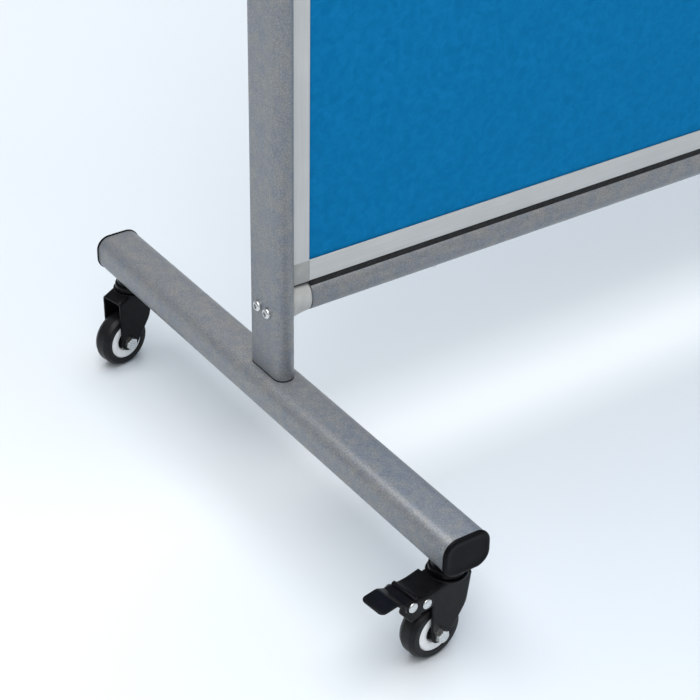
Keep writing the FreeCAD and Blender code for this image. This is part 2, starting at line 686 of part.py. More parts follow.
def make_panel_screws():
    """Screws through each cross bar and gasket into the frame's rail."""
    screw = new_body("panel_screw")
    head = "panel_screw_head_height"
    length = "bar_diameter + gasket_thickness + slot_floor"
    profile = outline(
        ("0", "-" + head),
        ("panel_screw_head / 2", "-" + head, "screw_head_round"),
        ("panel_screw_head / 2", "0"),
        ("panel_screw_size / 2", "0"),
        ("panel_screw_size / 2", length),
        ("0", length),
    )
    revolve(screw, "XZ_Plane", "V_Axis", profile)
    copies = []
    for step in (-1, 0, 1):
        spot = "%d * panel_screw_place" % step
        copies.append(link(screw, x=spot, z="lower_bar_height - bar_radius"))
        copies.append(link(screw, x=spot, z="upper_bar_height + bar_radius", axis=(1, 0, 0), angle=180))
    return group("panel_screws", copies)


SUBPARTS.append(make_rail("frame_rail_lower", z="frame_bottom"))
SUBPARTS.append(make_rail("frame_rail_upper", z="frame_top", axis=(1, 0, 0), angle=180))
SUBPARTS.append(make_stile("frame_stile_left", x="-frame_width / 2"))
SUBPARTS.append(make_stile("frame_stile_right", x="frame_width / 2", angle=180))
SUBPARTS.append(make_frame_corners())
SUBPARTS.append(make_gasket("panel_gasket_lower", z="lower_bar_height + bar_radius"))
upside_down = {"axis": (1, 0, 0), "angle": 180}
SUBPARTS.append(make_gasket("panel_gasket_upper", z="upper_bar_height - bar_radius", **upside_down))
SUBPARTS.append(make_panel_screws())


# ------------------------------------------------------------------------------------------ panel
def centred_box(width, height):
    """A rectangle round the origin."""
    return box("-(%s) / 2" % width, "(%s) / 2" % width, "-(%s) / 2" % height, "(%s) / 2" % height)


def make_core():
    """Board whose edges stand in the frame's slots."""
    body = new_body("panel_core")
    face = centred_box("core_width", "core_height")
    pad(body, "XZ_Plane", "-core_thickness / 2", "core_thickness / 2", face)
    return place(body, z="frame_middle")


def make_fabric(end, turn):
    """Felt on one side of the core, thinner where the frame's lips pinch it."""
    body = new_body("fabric_" + end)
    start = "core_thickness / 2"
    pinched = start + " + fabric_thickness - fabric_pinch"
    pad(body, "XZ_Plane", start, pinched, centred_box("core_width", "core_height"))
    window = "frame_%s - 2 * (frame_face + fabric_edge_gap)"
    thick = centred_box(window % "width", window % "height")
    pad(body, "XZ_Plane", pinched, start + " + fabric_thickness", thick)
    return place(body, z="frame_middle", angle=turn)


SUBPARTS.append(make_core())
SUBPARTS.append(make_fabric("front", 0))
SUBPARTS.append(make_fabric("rear", 180))


# ---------------------------------------------------------------------------------------- casters
# Each caster is drawn on its swivel axis, over the floor, with its wheel trailing towards -x. The
# ones on the left trail outwards to the left, the ones on the right outwards to the right.
def caster_turn(end, side):
    turn = end + "_caster_turn"
    return turn if side == "left" else "(180 - %s)" % turn


def on_caster(end, side, trail="0", height="0"):
    """The place of something that lies behind the swivel axis by trail, at a height."""
    turn = caster_turn(end, side)
    return {
        "x": "%d * half_spacing - (%s) * cos(%s)" % (SIDES[side], trail, turn),
        "y": "%d * stem_place - (%s) * sin(%s)" % (ENDS[end], trail, turn),
        "z": height,
        "angle": turn,
    }


def make_mount(end, side):
    """Threaded stem, neck, fixed race and riveted kingpin in one piece."""
    body = new_body("caster_%s_%s_mount" % (end, side))
    pin_top = "crown_under - running_gap"
    pin_bottom = pin_top + " - kingpin_head_height"
    profile = outline(
        ("0", pin_bottom),
        ("kingpin_head / 2", pin_bottom),
        ("kingpin_head / 2", pin_top),
        ("kingpin_diameter / 2", pin_top),
        ("kingpin_diameter / 2", "race_roof"),
        ("cup_diameter / 2 - cup_skirt", "race_roof"),
        ("cup_diameter / 2 - cup_skirt", "cup_bottom"),
        ("cup_diameter / 2", "cup_bottom"),
        ("cup_diameter / 2", "neck_bottom", "cup_edge"),
        ("neck_diameter / 2", "neck_bottom"),
        ("neck_diameter / 2", "caster_height"),
        ("stem_diameter / 2", "caster_height"),
        ("stem_diameter / 2", "caster_height + stem_length"),
        ("0", "caster_height + stem_length"),
    )
    revolve(body, "XZ_Plane", "V_Axis", profile)
    return place(body, **on_caster(end, side))


def make_fork(end, side):
    """Folded fork: crown and two legs cut to an outline, with ears for the pedal on front casters."""
    body = new_body("caster_%s_%s_fork" % (end, side))
    braked = end == "front"
    inner, outer = "fork_inside / 2", "fork_outside / 2"
    back = "-(pivot_reach + brake_ear)" if braked else "-fork_rear"
    eaves = "(crown_top - %s_crown_drop)" % end
    inner_bend = "fork_shoulder - fork_plate"
    section = outline(
        ("-" + outer, "0"), ("-" + inner, "0"), ("-" + inner, "crown_under", inner_bend),
        (inner, "crown_under", inner_bend), (inner, "0"), (outer, "0"),
        (outer, "crown_top", "fork_shoulder"), ("-" + outer, "crown_top", "fork_shoulder"),
    )
    pad(body, "YZ_Plane", back, "fork_front", section)
    ear = [
        ("-fork_rear", "wheel_radius + fork_notch_rise", "fork_round"),
        (back, "pivot_height - brake_ear", "brake_ear_round"),
        (back, "pivot_height + brake_ear", "brake_ear_round"),
    ]
    cut = [
        ("-wheel_trail - fork_tip", "wheel_radius - fork_tip", "fork_tip_round"),
        *(ear if braked else []),
        ("-fork_rear", eaves),
        ("-crown_slope_start", "crown_top"),
        ("fork_front", "crown_top"),
        ("fork_front", "crown_top - fork_brow", "fork_round"),
        ("fork_knee_reach - wheel_trail", "wheel_radius + fork_knee_rise", "fork_round"),
        ("fork_tip - wheel_trail", "wheel_radius - fork_tip", "fork_tip_round"),
    ]
    spare = "fork_outside"
    blank = box("%s - %s" % (back, spare), "fork_front + " + spare, "-" + spare, "crown_top + " + spare)
    pocket(body, "XZ_Plane", "-" + spare, spare, blank, outline(*cut))
    slope = outline(
        ("-crown_slope_start", "crown_under"), ("-crown_slope_start", "crown_top"),
        ("-fork_rear", eaves), ("-fork_rear", eaves + " - fork_plate"),
    )
    pad(body, "XZ_Plane", "-" + inner, inner, slope)
    pad(body, "XY_Plane", "crown_under", "crown_top", circle("crown_diameter / 2"))
    pocket(body, "XY_Plane", "crown_under", "crown_top", circle("kingpin_diameter / 2 + shaft_gap"))
    holes = [circle("axle_diameter / 2 + shaft_gap", "-wheel_trail", "wheel_radius")]
    if braked:
        holes.append(circle("rivet_diameter / 2 + shaft_gap", "-pivot_reach", "pivot_height"))
    pocket(body, "XZ_Plane", "-fork_outside", "fork_outside", *holes)
    return place(body, **on_caster(end, side))


def make_axle(end, side, bolt, nut):
    """Axle bolt and its nut."""
    where = on_caster(end, side, "wheel_trail", "wheel_radius")
    return group("caster_%s_%s_axle" % (end, side), [link(bolt), link(nut)], **where)


def make_tyre(end, side):
    body = new_body("caster_%s_%s_tyre" % (end, side))
    half, inside = "wheel_width / 2", "hub_diameter / 2"
    shoulder = "wheel_radius - shoulder_drop"
    profile = outline(
        ("-" + half, inside), (half, inside), (half, shoulder, "tyre_edge"),
        ("tread_width / 2", "wheel_radius", "tyre_round"), ("-tread_width / 2", "wheel_radius", "tyre_round"),
        ("-" + half, shoulder, "tyre_edge"),
    )
    revolve(body, "YZ_Plane", "H_Axis", profile)
    return place(body, **on_caster(end, side, "wheel_trail", "wheel_radius"))


def make_hub(end, side):
    """Hub with a boss on the axle, a thinner web and a raised ring on each face."""
    body = new_body("caster_%s_%s_hub" % (end, side))
    bore, boss = "axle_diameter / 2 + shaft_gap", "hub_boss / 2"
    ring, rim = "hub_ring_inside", "hub_diameter / 2"
    long_half, web_half, wide_half = "hub_length / 2", "hub_web / 2", "wheel_width / 2"
    profile = outline(
        ("-" + long_half, bore), (long_half, bore), (long_half, boss), (web_half, boss), (web_half, ring),
        (wide_half, ring), (wide_half, rim), ("-" + wide_half, rim), ("-" + wide_half, ring),
        ("-" + web_half, ring), ("-" + web_half, boss), ("-" + long_half, boss),
    )
    revolve(body, "YZ_Plane", "H_Axis", profile)
    return place(body, **on_caster(end, side, "wheel_trail", "wheel_radius"))


fork_side, nut_side = "fork_outside / 2", "fork_outside / 2 + axle_nut_height"
axle_bolt = new_body("axle_bolt")
pad(axle_bolt, "XZ_Plane", "-(%s)" % nut_side, "-" + fork_side, hexagon("axle_nut_width"))
pad(axle_bolt, "XZ_Plane", "-" + fork_side, nut_side + " + axle_tail", circle("axle_diameter / 2"))
axle_nut = new_body("axle_nut")
nut_shapes = (hexagon("axle_nut_width"), circle("axle_diameter / 2 + shaft_gap"))
pad(axle_nut, "XZ_Plane", fork_side, nut_side, *nut_shapes)

for end in ENDS:
    for side in SIDES:
        SUBPARTS.append(make_mount(end, side))
        SUBPARTS.append(make_fork(end, side))
        SUBPARTS.append(make_axle(end, side, axle_bolt, axle_nut))
        SUBPARTS.append(make_tyre(end, side))
        SUBPARTS.append(make_hub(end, side))


def make_stem_nuts():
    """A nut inside the foot on each caster's stem."""
    nut = new_body("stem_nut")
    shapes = (hexagon("stem_nut_width"), circle("stem_diameter / 2 + shaft_gap"))
    pad(nut, "XY_Plane", "0", "stem_nut_height", *shapes)
    copies = []
    for end in ENDS:
        for side in SIDES:
            spot = on_caster(end, side)
            copies.append(link(nut, x=spot["x"], y=spot["y"]))
    return group("caster_stem_nuts", copies, z="caster_height + foot_wall")


def make_swivel_balls():
    """A ring of balls between each fixed race and the fork under it."""
    ball = doc.addObject("Part::Sphere", "ball")
    ball.setExpression("Radius", formula("ball_diameter / 2"))
    ring = []
    for step in range(int(number("ball_count"))):
        turn = "(360 * %d / ball_count)" % step
        ring.append(link(ball, x="ball_ring * cos(%s)" % turn, y="ball_ring * sin(%s)" % turn))
    balls = group("ball_race", ring)
    copies = [link(balls, **on_caster(end, side)) for end in ENDS for side in SIDES]
    return group("caster_swivel_balls", copies, z="crown_top + fit_gap + ball_diameter / 2")


SUBPARTS.append(make_stem_nuts())
SUBPARTS.append(make_swivel_balls())


# ----------------------------------------------------------------------------------------- brakes
# A pedal, its shoe and the two rivets that join them are drawn round the pedal's pivot. The
# outward side is -x.
def rivet_holes(gap):
    radius = "rivet_diameter / 2 + " + gap
    return circle(radius), circle(radius, "-link_reach", "link_rise")


def make_pedal(end, side):
    """Pedal: a bent plate with a ridge across it, and two flanges that straddle the fork."""
    body = new_body("caster_%s_%s_brake_pedal" % (end, side))
    outer, inner, half = "pedal_outside / 2", "pedal_inside / 2", "pedal_width / 2"
    hood = outline(
        ("hood_reach", "hood_rise"), ("hood_reach", "hood_rise + pedal_plate"),
        ("-bend_reach", "bend_rise + pedal_plate"), ("-ledge_start", "ledge_rise + pedal_plate"),
        ("-ledge_end", "ledge_rise + pedal_plate"), ("-ledge_end", "ledge_rise"),
        ("-ledge_start", "ledge_rise"), ("-bend_reach", "bend_rise"),
    )
    pad(body, "XZ_Plane", "-" + outer, outer, hood)
    step = outline(
        ("-ledge_end", "ledge_rise"), ("-ledge_end", "ledge_rise + pedal_plate"),
        ("-crest_reach", "crest_rise + pedal_plate", "crest_round + pedal_plate"),
        ("-tip_reach", "tip_rise + pedal_plate"), ("-tip_reach", "tip_rise"),
        ("-crest_reach", "crest_rise", "crest_round"),
    )
    pad(body, "XZ_Plane", "-" + half, half, step)
    left, right = "-ridge_reach - ridge_width / 2", "-ridge_reach + ridge_width / 2"
    base = "ledge_rise + pedal_plate / 2"
    crest = "ledge_rise + pedal_plate + ridge_height"
    ridge = outline((left, base), (right, base), (right, crest, "ridge_round"), (left, crest, "ridge_round"))
    pad(body, "XZ_Plane", "-" + half, half, ridge)
    slope = "(hood_rise - bend_rise) / (hood_reach + bend_reach)"
    flange = outline(
        ("flange_reach", "-flange_drop", "flange_round"),
        ("-flange_drop", "-flange_drop", "flange_round"),
        ("-ledge_end", "flange_rise", "flange_round"),
        ("-ledge_end", "ledge_rise + pedal_plate / 2"),
        ("-ledge_start", "ledge_rise + pedal_plate / 2"),
        ("-bend_reach", "bend_rise + pedal_plate / 2"),
        ("flange_reach", "bend_rise + pedal_plate / 2 + %s * (flange_reach + bend_reach)" % slope),
    )
    pad(body, "XZ_Plane", inner, outer, flange)
    pad(body, "XZ_Plane", "-" + outer, "-" + inner, flange)
    pocket(body, "XZ_Plane", "-" + outer, outer, *rivet_holes("shaft_gap"))
    return place(body, **on_caster(end, side, "pivot_reach", "pivot_height"))


def round_the_wheel(radius, angle):
    """A place round the pressed shoe's wheel, seen from the pivot."""
    across = "shoe_wheel_x + (%s) * cos(%s)" % (radius, angle)
    up = "shoe_wheel_z + (%s) * sin(%s)" % (radius, angle)
    return across, up


def make_shoe(end, side):
    """Brake shoe: an arm on both rivets that fills the space under the pedal, and a pad with a flat
    face for the tyre. The pad is drawn as it lies on the tyre, and turned back to where the raised
    pedal holds it."""
    body = new_body("caster_%s_%s_brake_shoe" % (end, side))
    half, long_half = "shoe_width / 2", "hub_length / 2"
    arm_end, arm_top = "-link_reach - shoe_eye", "ledge_rise - running_gap"
    arm = outline(
        ("0", "-shoe_eye"), ("0", "shoe_eye"), ("-link_reach", arm_top), (arm_end, arm_top),
        (arm_end, "link_rise - shoe_eye"), ("-link_reach", "link_rise - shoe_eye"),
    )
    pad(body, "XZ_Plane", "-" + half, half, arm)
    pad(body, "XZ_Plane", "-" + long_half, long_half, circle("shoe_eye"))
    inside = "(shoe_face / cos((shoe_end - shoe_start) / 2))"
    outside = inside + " + shoe_pad"
    pad_shape = outline(
        ("-shoe_eye", "0"), ("shoe_eye", "0"),
        round_the_wheel(outside, "shoe_start"), round_the_wheel(inside, "shoe_start"),
        round_the_wheel(inside, "shoe_end"), round_the_wheel(outside, "shoe_end"),
    )
    pad(body, "XZ_Plane", "-" + half, half, pad_shape, turn="-brake_press")
    pocket(body, "XZ_Plane", "-" + long_half, long_half, *rivet_holes("shaft_gap"))
    return place(body, **on_caster(end, side, "pivot_reach", "pivot_height"))


rivet = new_body("brake_rivet")
rivet_half, rivet_end = "pedal_outside / 2", "(pedal_outside / 2 + rivet_head_height)"
shank, head = "rivet_diameter / 2", "rivet_head / 2"
rivet_profile = outline(
    ("-" + rivet_end, "0"), (rivet_end, "0"), (rivet_end, head, "rivet_round"), (rivet_half, head),
    (rivet_half, shank), ("-" + rivet_half, shank), ("-" + rivet_half, head),
    ("-" + rivet_end, head, "rivet_round"),
)
revolve(rivet, "YZ_Plane", "H_Axis", rivet_profile)


def make_rivets(end, side):
    """The pedal's pivot rivet, and the rivet that joins pedal and shoe."""
    copies = [link(rivet), link(rivet, x="-link_reach", z="link_rise")]
    where = on_caster(end, side, "pivot_reach", "pivot_height")
    return group("caster_%s_%s_brake_rivets" % (end, side), copies, **where)


for side in SIDES:
    SUBPARTS.append(make_pedal("front", side))
    SUBPARTS.append(make_shoe("front", side))
    SUBPARTS.append(make_rivets("front", side))


# ----------------------------------------------------------------------------- checks and export
doc.recompute()
for thing in doc.Objects:
    if "Invalid" in thing.State or "Error" in thing.State:
        raise RuntimeError("%s did not compute: %s" % (thing.Label, thing.State))
for subpart in SUBPARTS:
    if subpart.Shape.isNull() or not subpart.Shape.isValid() or not subpart.Shape.Solids:
        raise RuntimeError(subpart.Label + " has no valid solid")

os.makedirs("parts", exist_ok=True)
for subpart in SUBPARTS:
    subpart.Shape.exportStep("parts/%s.step" % subpart.Label)
print("%d sub-parts written" % len(SUBPARTS))
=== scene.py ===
# %% [markdown]
# # A rolling partition
#
# This lesson dresses a rolling partition: a felt panel in an aluminium frame, hung between two flat-oval
# uprights that stand on tubular feet with casters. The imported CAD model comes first. It is a fixed frame
# of reference, so every surface below is made where the CAD says, and moves with a CAD body.

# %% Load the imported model
import json
import math

import bmesh
import bpy
import numpy as np
from mathutils import Matrix, Vector


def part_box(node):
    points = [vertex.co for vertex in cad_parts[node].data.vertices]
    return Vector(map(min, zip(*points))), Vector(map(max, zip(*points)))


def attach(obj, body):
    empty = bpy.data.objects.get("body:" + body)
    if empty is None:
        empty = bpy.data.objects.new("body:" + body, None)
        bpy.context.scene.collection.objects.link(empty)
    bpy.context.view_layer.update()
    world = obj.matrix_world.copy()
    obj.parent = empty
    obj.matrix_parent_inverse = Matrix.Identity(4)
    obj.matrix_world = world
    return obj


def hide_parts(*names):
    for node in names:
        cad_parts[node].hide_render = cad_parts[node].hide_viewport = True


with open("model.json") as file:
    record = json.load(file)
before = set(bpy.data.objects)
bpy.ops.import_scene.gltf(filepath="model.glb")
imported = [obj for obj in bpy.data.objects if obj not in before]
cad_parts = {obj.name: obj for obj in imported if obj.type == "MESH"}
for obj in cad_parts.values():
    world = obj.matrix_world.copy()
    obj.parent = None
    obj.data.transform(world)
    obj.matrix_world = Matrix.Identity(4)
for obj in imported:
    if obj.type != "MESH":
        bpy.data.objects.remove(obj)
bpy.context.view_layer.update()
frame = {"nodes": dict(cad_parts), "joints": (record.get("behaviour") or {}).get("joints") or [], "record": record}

MM = 0.001
JOINTS = {joint["name"]: joint for joint in frame["joints"]}
SLOT_OF = {part["node"]: part["material_slot"] for part in frame["record"]["subparts"]}
BODY_OF = {}
for body, nodes in frame["record"]["behaviour"]["bodies"].items():
    BODY_OF.update({node: body for node in nodes})

# %% [markdown]
# ## The camera
#
# The camera looks down at the left end of the partition from its front left, through a long lens. A
# camera looks along its own -Z. Its back is therefore the direction from the object to the camera,
# which two angles give, and a small roll about that direction levels the picture.

# %% Camera
scene = bpy.context.scene
azimuth, elevation, roll = (math.radians(angle) for angle in (-34.832, 33.174, 0.964))
place = (-1.3208, -1.15985, 1.03213)
sensor_width, focal_length = 36, 103.64
back = Vector((math.sin(azimuth) * math.cos(elevation), -math.cos(azimuth) * math.cos(elevation),
               math.sin(elevation)))
camera = bpy.data.objects.new("camera", bpy.data.cameras.new("camera"))
scene.collection.objects.link(camera)
scene.camera = camera
turn = (-back).to_track_quat("-Z", "Y").to_matrix().to_4x4() @ Matrix.Rotation(roll, 4, "Z")
camera.matrix_world = Matrix.Translation(place) @ turn
camera.data.sensor_width = sensor_width
camera.data.lens = focal_length
print("camera at", place, "with its back along", tuple(back))

# %% [markdown]
# ## Floor and light
#
# A plain pale floor and a pale sky fill the picture. One large soft lamp stands at the front left, a
# weaker one fills the shadows from the right, a wide one overhead gives the upper sides their light, and
# one behind the panel, which shades what stands in front of it, lights the rear half of the feet.

# %% Floor and light
scene.view_settings.view_transform = "Standard"
scene.world = bpy.data.worlds.new("studio")
scene.world.use_nodes = True
sky = scene.world.node_tree.nodes["Background"]
sky.inputs["Color"].default_value = (0.95, 0.98, 1.0, 1.0)
sky.inputs["Strength"].default_value = 0.36


def lamp(name, place, target, size, power, colour=(1, 1, 1)):
    """A square soft lamp, with its size in metres and its power in watts, that faces a target."""
    light = bpy.data.lights.new(name, "AREA")
    light.size, light.energy, light.color = size, power, colour
    holder = bpy.data.objects.new(name, light)
    scene.collection.objects.link(holder)
    aim = (Vector(target) - Vector(place)).to_track_quat("-Z", "Y").to_matrix().to_4x4()
    holder.matrix_world = Matrix.Translation(place) @ aim


lamp("key", (-2.6, -2.6, 3.4), (-0.4, 0, 0.5), 2.2, 40)
lamp("fill", (2.6, -3.0, 1.6), (-0.2, 0, 0.5), 2.2, 8)
lamp("overhead", (-0.6, -0.3, 4.6), (-0.6, -0.3, 0), 5.0, 275)
lamp("behind", (1.9, 3.0, 2.4), (-0.6, 0.1, 0), 4.5, 13, (1.0, 0.98, 0.95))

FLOOR_REACH = 6.0
floor_mesh = bpy.data.meshes.new("floor")
corners = FLOOR_REACH * np.array([(-1, -1, 0), (1, -1, 0), (1, 1, 0), (-1, 1, 0)])
floor_mesh.from_pydata(corners.tolist(), [], [(0, 1, 2, 3)])
floor = bpy.data.objects.new("floor", floor_mesh)
scene.collection.objects.link(floor)
print("lamps:", ", ".join(light.name for light in bpy.data.lights))

# %% [markdown]
# ## Finishes
#
# Each finish is a small tree of nodes. It reads Object coordinates, which are metres in the model's own
# frame, so a pattern has a real size: a noise with a scale of 1000 / 2 has grains of about 2 mm. Values
# that are the same all over stand on the shader itself. Only what varies, which is colour, roughness
# and relief, comes from nodes.

# %% Helpers for finishes
FINISH = {}


def add(tree, kind, values=None, **settings):
    """A node, with its settings, and with a value or a link for each of its inputs."""
    node = tree.nodes.new("ShaderNode" + kind)
    for name, setting in settings.items():
        setattr(node, name, setting)
    for name, value in (values or {}).items():
        if isinstance(value, bpy.types.NodeSocket):
            tree.links.new(value, node.inputs[name])
        else:
            node.inputs[name].default_value = value
    return node


def new_finish(name, roughness, metallic=0.0, **inputs):
    """A material whose plain values are set. Returns its tree and its shader."""
    material = bpy.data.materials.new(name)
    material.use_nodes = True
    shader = material.node_tree.nodes["Principled BSDF"]
    shader.inputs["Roughness"].default_value = roughness
    shader.inputs["Metallic"].default_value = metallic
    for key, value in inputs.items():
        shader.inputs[key.replace("_", " ")].default_value = value
    FINISH[name] = material
    return material.node_tree, shader


def grain(tree, size, detail=2.0, stretch=(1, 1, 1), warp=0.0):
    """Noise with grains of a size in millimetres, from 0 to 1. A stretch under 1 draws it out."""
    place = add(tree, "TexCoord").outputs["Object"]
    place = add(tree, "Mapping", {"Vector": place, "Scale": stretch}).outputs["Vector"]
    values = {"Vector": place, "Scale": 1 / (size * MM), "Detail": detail, "Distortion": warp}
    return add(tree, "TexNoise", values).outputs[0]


def ramp(tree, factor, *stops):
    """Colours along a factor. Each stop is (position, colour), and a single number is a grey."""
    node = add(tree, "ValToRGB", {"Fac": factor})
    elements = node.color_ramp.elements
    while len(elements) < len(stops):
        elements.new(0.5)
    for element, (position, colour) in zip(elements, stops):
        element.position = position
        element.color = (*((colour,) * 3 if isinstance(colour, float) else colour), 1)
    return node.outputs["Color"]


def mix(tree, first, second, factor, blend="MULTIPLY"):
    """Two colours, one worked into the other."""
    node = add(tree, "Mix", {0: factor}, data_type="RGBA", blend_type=blend)
    tree.links.new(first, node.inputs[6])
    tree.links.new(second, node.inputs[7])
    return node.outputs[2]


def spread(tree, factor, low, high):
    """A factor from 0 to 1, brought between two values."""
    return add(tree, "MapRange", {"Value": factor, "To Min": low, "To Max": high}).outputs[0]


def relief(tree, shader, height, depth, strength=1.0):
    """Bumps of a depth in millimetres."""
    bump = add(tree, "Bump", {"Height": height, "Distance": depth * MM, "Strength": strength})
    tree.links.new(bump.outputs["Normal"], shader.inputs["Normal"])


def paint(tree, shader, colour=None, roughness=None):
    """Links what varies into the shader."""
    if colour is not None:
        tree.links.new(colour, shader.inputs["Base Color"])
    if roughness is not None:
        tree.links.new(roughness, shader.inputs["Roughness"])


# %% [markdown]
# The uprights, feet and cross bars have a silver-vein powder coat. It is a dimpled paint: pale flakes
# gather in cells about 2 mm wide with darker lines between them. A Voronoi texture's distance to the
# edge of a cell gives those lines, and noise bends them so that no cell looks like its neighbour.

# %% Silver-vein powder coat
CELLS_PER_METRE, BENDS_PER_METRE, BEND_REACH = 430.0, 380.0, 1.6 * MM
tree, shader = new_finish("silver_vein", 0.42, 0.35)
place = add(tree, "TexCoord").outputs["Object"]
noise = add(tree, "TexNoise", {"Vector": place, "Scale": BENDS_PER_METRE, "Detail": 2.0}).outputs["Color"]
shift = add(tree, "VectorMath", {0: noise, 1: (BEND_REACH,) * 3}, operation="MULTIPLY").outputs[0]
place = add(tree, "VectorMath", {0: place, 1: shift}, operation="ADD").outputs[0]
cells = add(tree, "TexVoronoi", {"Vector": place, "Scale": CELLS_PER_METRE},
            feature="DISTANCE_TO_EDGE").outputs[0]
veins = ramp(tree, cells, (0.0, (0.62, 0.64, 0.67)), (0.16, 0.94), (0.5, 1.0))
body_colour = ramp(tree, grain(tree, 9, 4), (0.34, (0.252, 0.272, 0.306)), (0.66, (0.316, 0.316, 0.310)))
flakes = ramp(tree, grain(tree, 1.1, 2), (0.34, (0.80, 0.80, 0.81)), (0.66, 1.0))
paint(tree, shader, mix(tree, mix(tree, body_colour, veins, 0.8), flakes, 0.8),
      spread(tree, grain(tree, 1.4, 2), 0.36, 0.5))
relief(tree, shader, cells, 0.08, 0.5)
print("powder coat made")

# %% [markdown]
# The panel's frame is anodised aluminium. Extrusion leaves faint lines along a profile, so the same
# finish is made twice, once with its lines along X and once along Z.

# %% Anodised aluminium
DRAWN_OUT = 0.012
for direction, stretch in (("along", (DRAWN_OUT, 1, 1)), ("up", (1, 1, DRAWN_OUT))):
    tree, shader = new_finish("frame_aluminium_" + direction, 0.4, 0.55)
    streaks = grain(tree, 0.7, 3, stretch)
    clouds = ramp(tree, grain(tree, 40, 3), (0.3, (0.55, 0.55, 0.54)), (0.7, (0.59, 0.59, 0.58)))
    shades = ramp(tree, streaks, (0.35, 0.93), (0.65, 1.0))
    paint(tree, shader, mix(tree, clouds, shades, 1.0), spread(tree, streaks, 0.34, 0.46))
    relief(tree, shader, streaks, 0.03, 0.35)
print("aluminium made, with lines along and up")

# %% [markdown]
# The panel is covered with needle felt. Its fibres lie in all directions and are thinner than what a
# lens resolves from two metres, so it looks matt and faintly mottled: fine noise is the fibres, broad
# noise the places where they lie thicker, and a sheen is the light that loose ends catch.

# %% Blue felt
tree, shader = new_finish("blue_felt", 0.95, Sheen_Weight=0.12, Sheen_Roughness=0.5,
                          Sheen_Tint=(0.05, 0.45, 0.8, 1), Specular_IOR_Level=0.02)
broad = ramp(tree, grain(tree, 7.5, 4, warp=0.6), (0.32, (0.004, 0.168, 0.40)), (0.5, (0.005, 0.184, 0.435)),
             (0.7, (0.007, 0.202, 0.475)))
fibres = ramp(tree, grain(tree, 0.55, 3, warp=1.5), (0.3, 0.80), (0.7, 1.0))
paint(tree, shader, mix(tree, broad, fibres, 0.85))
relief(tree, shader, grain(tree, 0.8, 4, warp=1.0), 0.25, 0.6)
print("felt made")

# %% [markdown]
# Moulded plastic, pressed steel, zinc and rubber need less. Each has its own fine relief: plastic keeps
# the etched grain of its mould, coated steel is almost smooth, zinc plate is slightly clouded, and the
# tyre and the brake shoe are matt.


# %% Plastics, steel, zinc and rubber
def plain_finish(name, dark, light, cloud, roughness, bump, metallic=0.0, **inputs):
    """A colour between dark and light, in clouds of a size, with a range of roughness. The bump is the
    size and depth of the relief's grain. Sizes are in millimetres."""
    tree, shader = new_finish(name, roughness[0], metallic, **inputs)
    fine = grain(tree, bump[0], 2)
    colour = ramp(tree, grain(tree, cloud, 3), (0.3, dark), (0.7, light))
    paint(tree, shader, colour, spread(tree, fine, *roughness))
    relief(tree, shader, fine, bump[1], 0.5)


plain_finish("black_plastic", (0.002, 0.002, 0.003), (0.004, 0.004, 0.005), 9, (0.32, 0.44), (0.35, 0.03),
             Specular_IOR_Level=0.09)
plain_finish("grey_plastic", (0.35, 0.35, 0.34), (0.40, 0.40, 0.39), 8, (0.36, 0.46), (0.4, 0.03),
             Specular_IOR_Level=0.3)
plain_finish("socket_grey", (0.43, 0.43, 0.42), (0.49, 0.49, 0.48), 8, (0.36, 0.46), (0.4, 0.03),
             Specular_IOR_Level=0.3)
plain_finish("hub_grey", (0.80, 0.81, 0.82), (0.88, 0.89, 0.90), 5, (0.3, 0.4), (0.4, 0.02))
plain_finish("black_steel", (0.003, 0.003, 0.004), (0.006, 0.006, 0.007), 7, (0.24, 0.36), (1.2, 0.03),
             Specular_IOR_Level=0.12)
plain_finish("black_rubber", (0.016, 0.016, 0.017), (0.028, 0.028, 0.029), 4, (0.5, 0.65), (0.5, 0.04),
             Specular_IOR_Level=0.1)
plain_finish("tyre_black", (0.006, 0.006, 0.007), (0.010, 0.010, 0.012), 6, (0.3, 0.45), (0.7, 0.03),
             Specular_IOR_Level=0.2)
plain_finish("zinc", (0.56, 0.57, 0.57), (0.70, 0.71, 0.70), 2.5, (0.2, 0.34), (0.8, 0.02), metallic=1.0)
plain_finish("bearing_steel", 0.60, 0.72, 1.5, (0.1, 0.2), (0.5, 0.005), metallic=1.0)
plain_finish("core_board", (0.30, 0.22, 0.14), (0.42, 0.33, 0.22), 3, (0.8, 0.95), (1.0, 0.2))
plain_finish("pale_floor", (0.72, 0.765, 0.805), (0.73, 0.775, 0.815), 300, (0.8, 0.85), (6, 0.02),
             Specular_IOR_Level=0.1)
floor.data.materials.append(FINISH["pale_floor"])
print(len(FINISH), "finishes")

# %% [markdown]
# ## From grids to pieces
#
# Every new surface is a grid of points, worked out at once with numpy. A helper turns grids into one
# closed mesh: neighbouring points make faces, points that fall together are merged, an open end gets a
# flat lid, and the faces are turned outwards. Another makes the piece ride on its body in its finish.


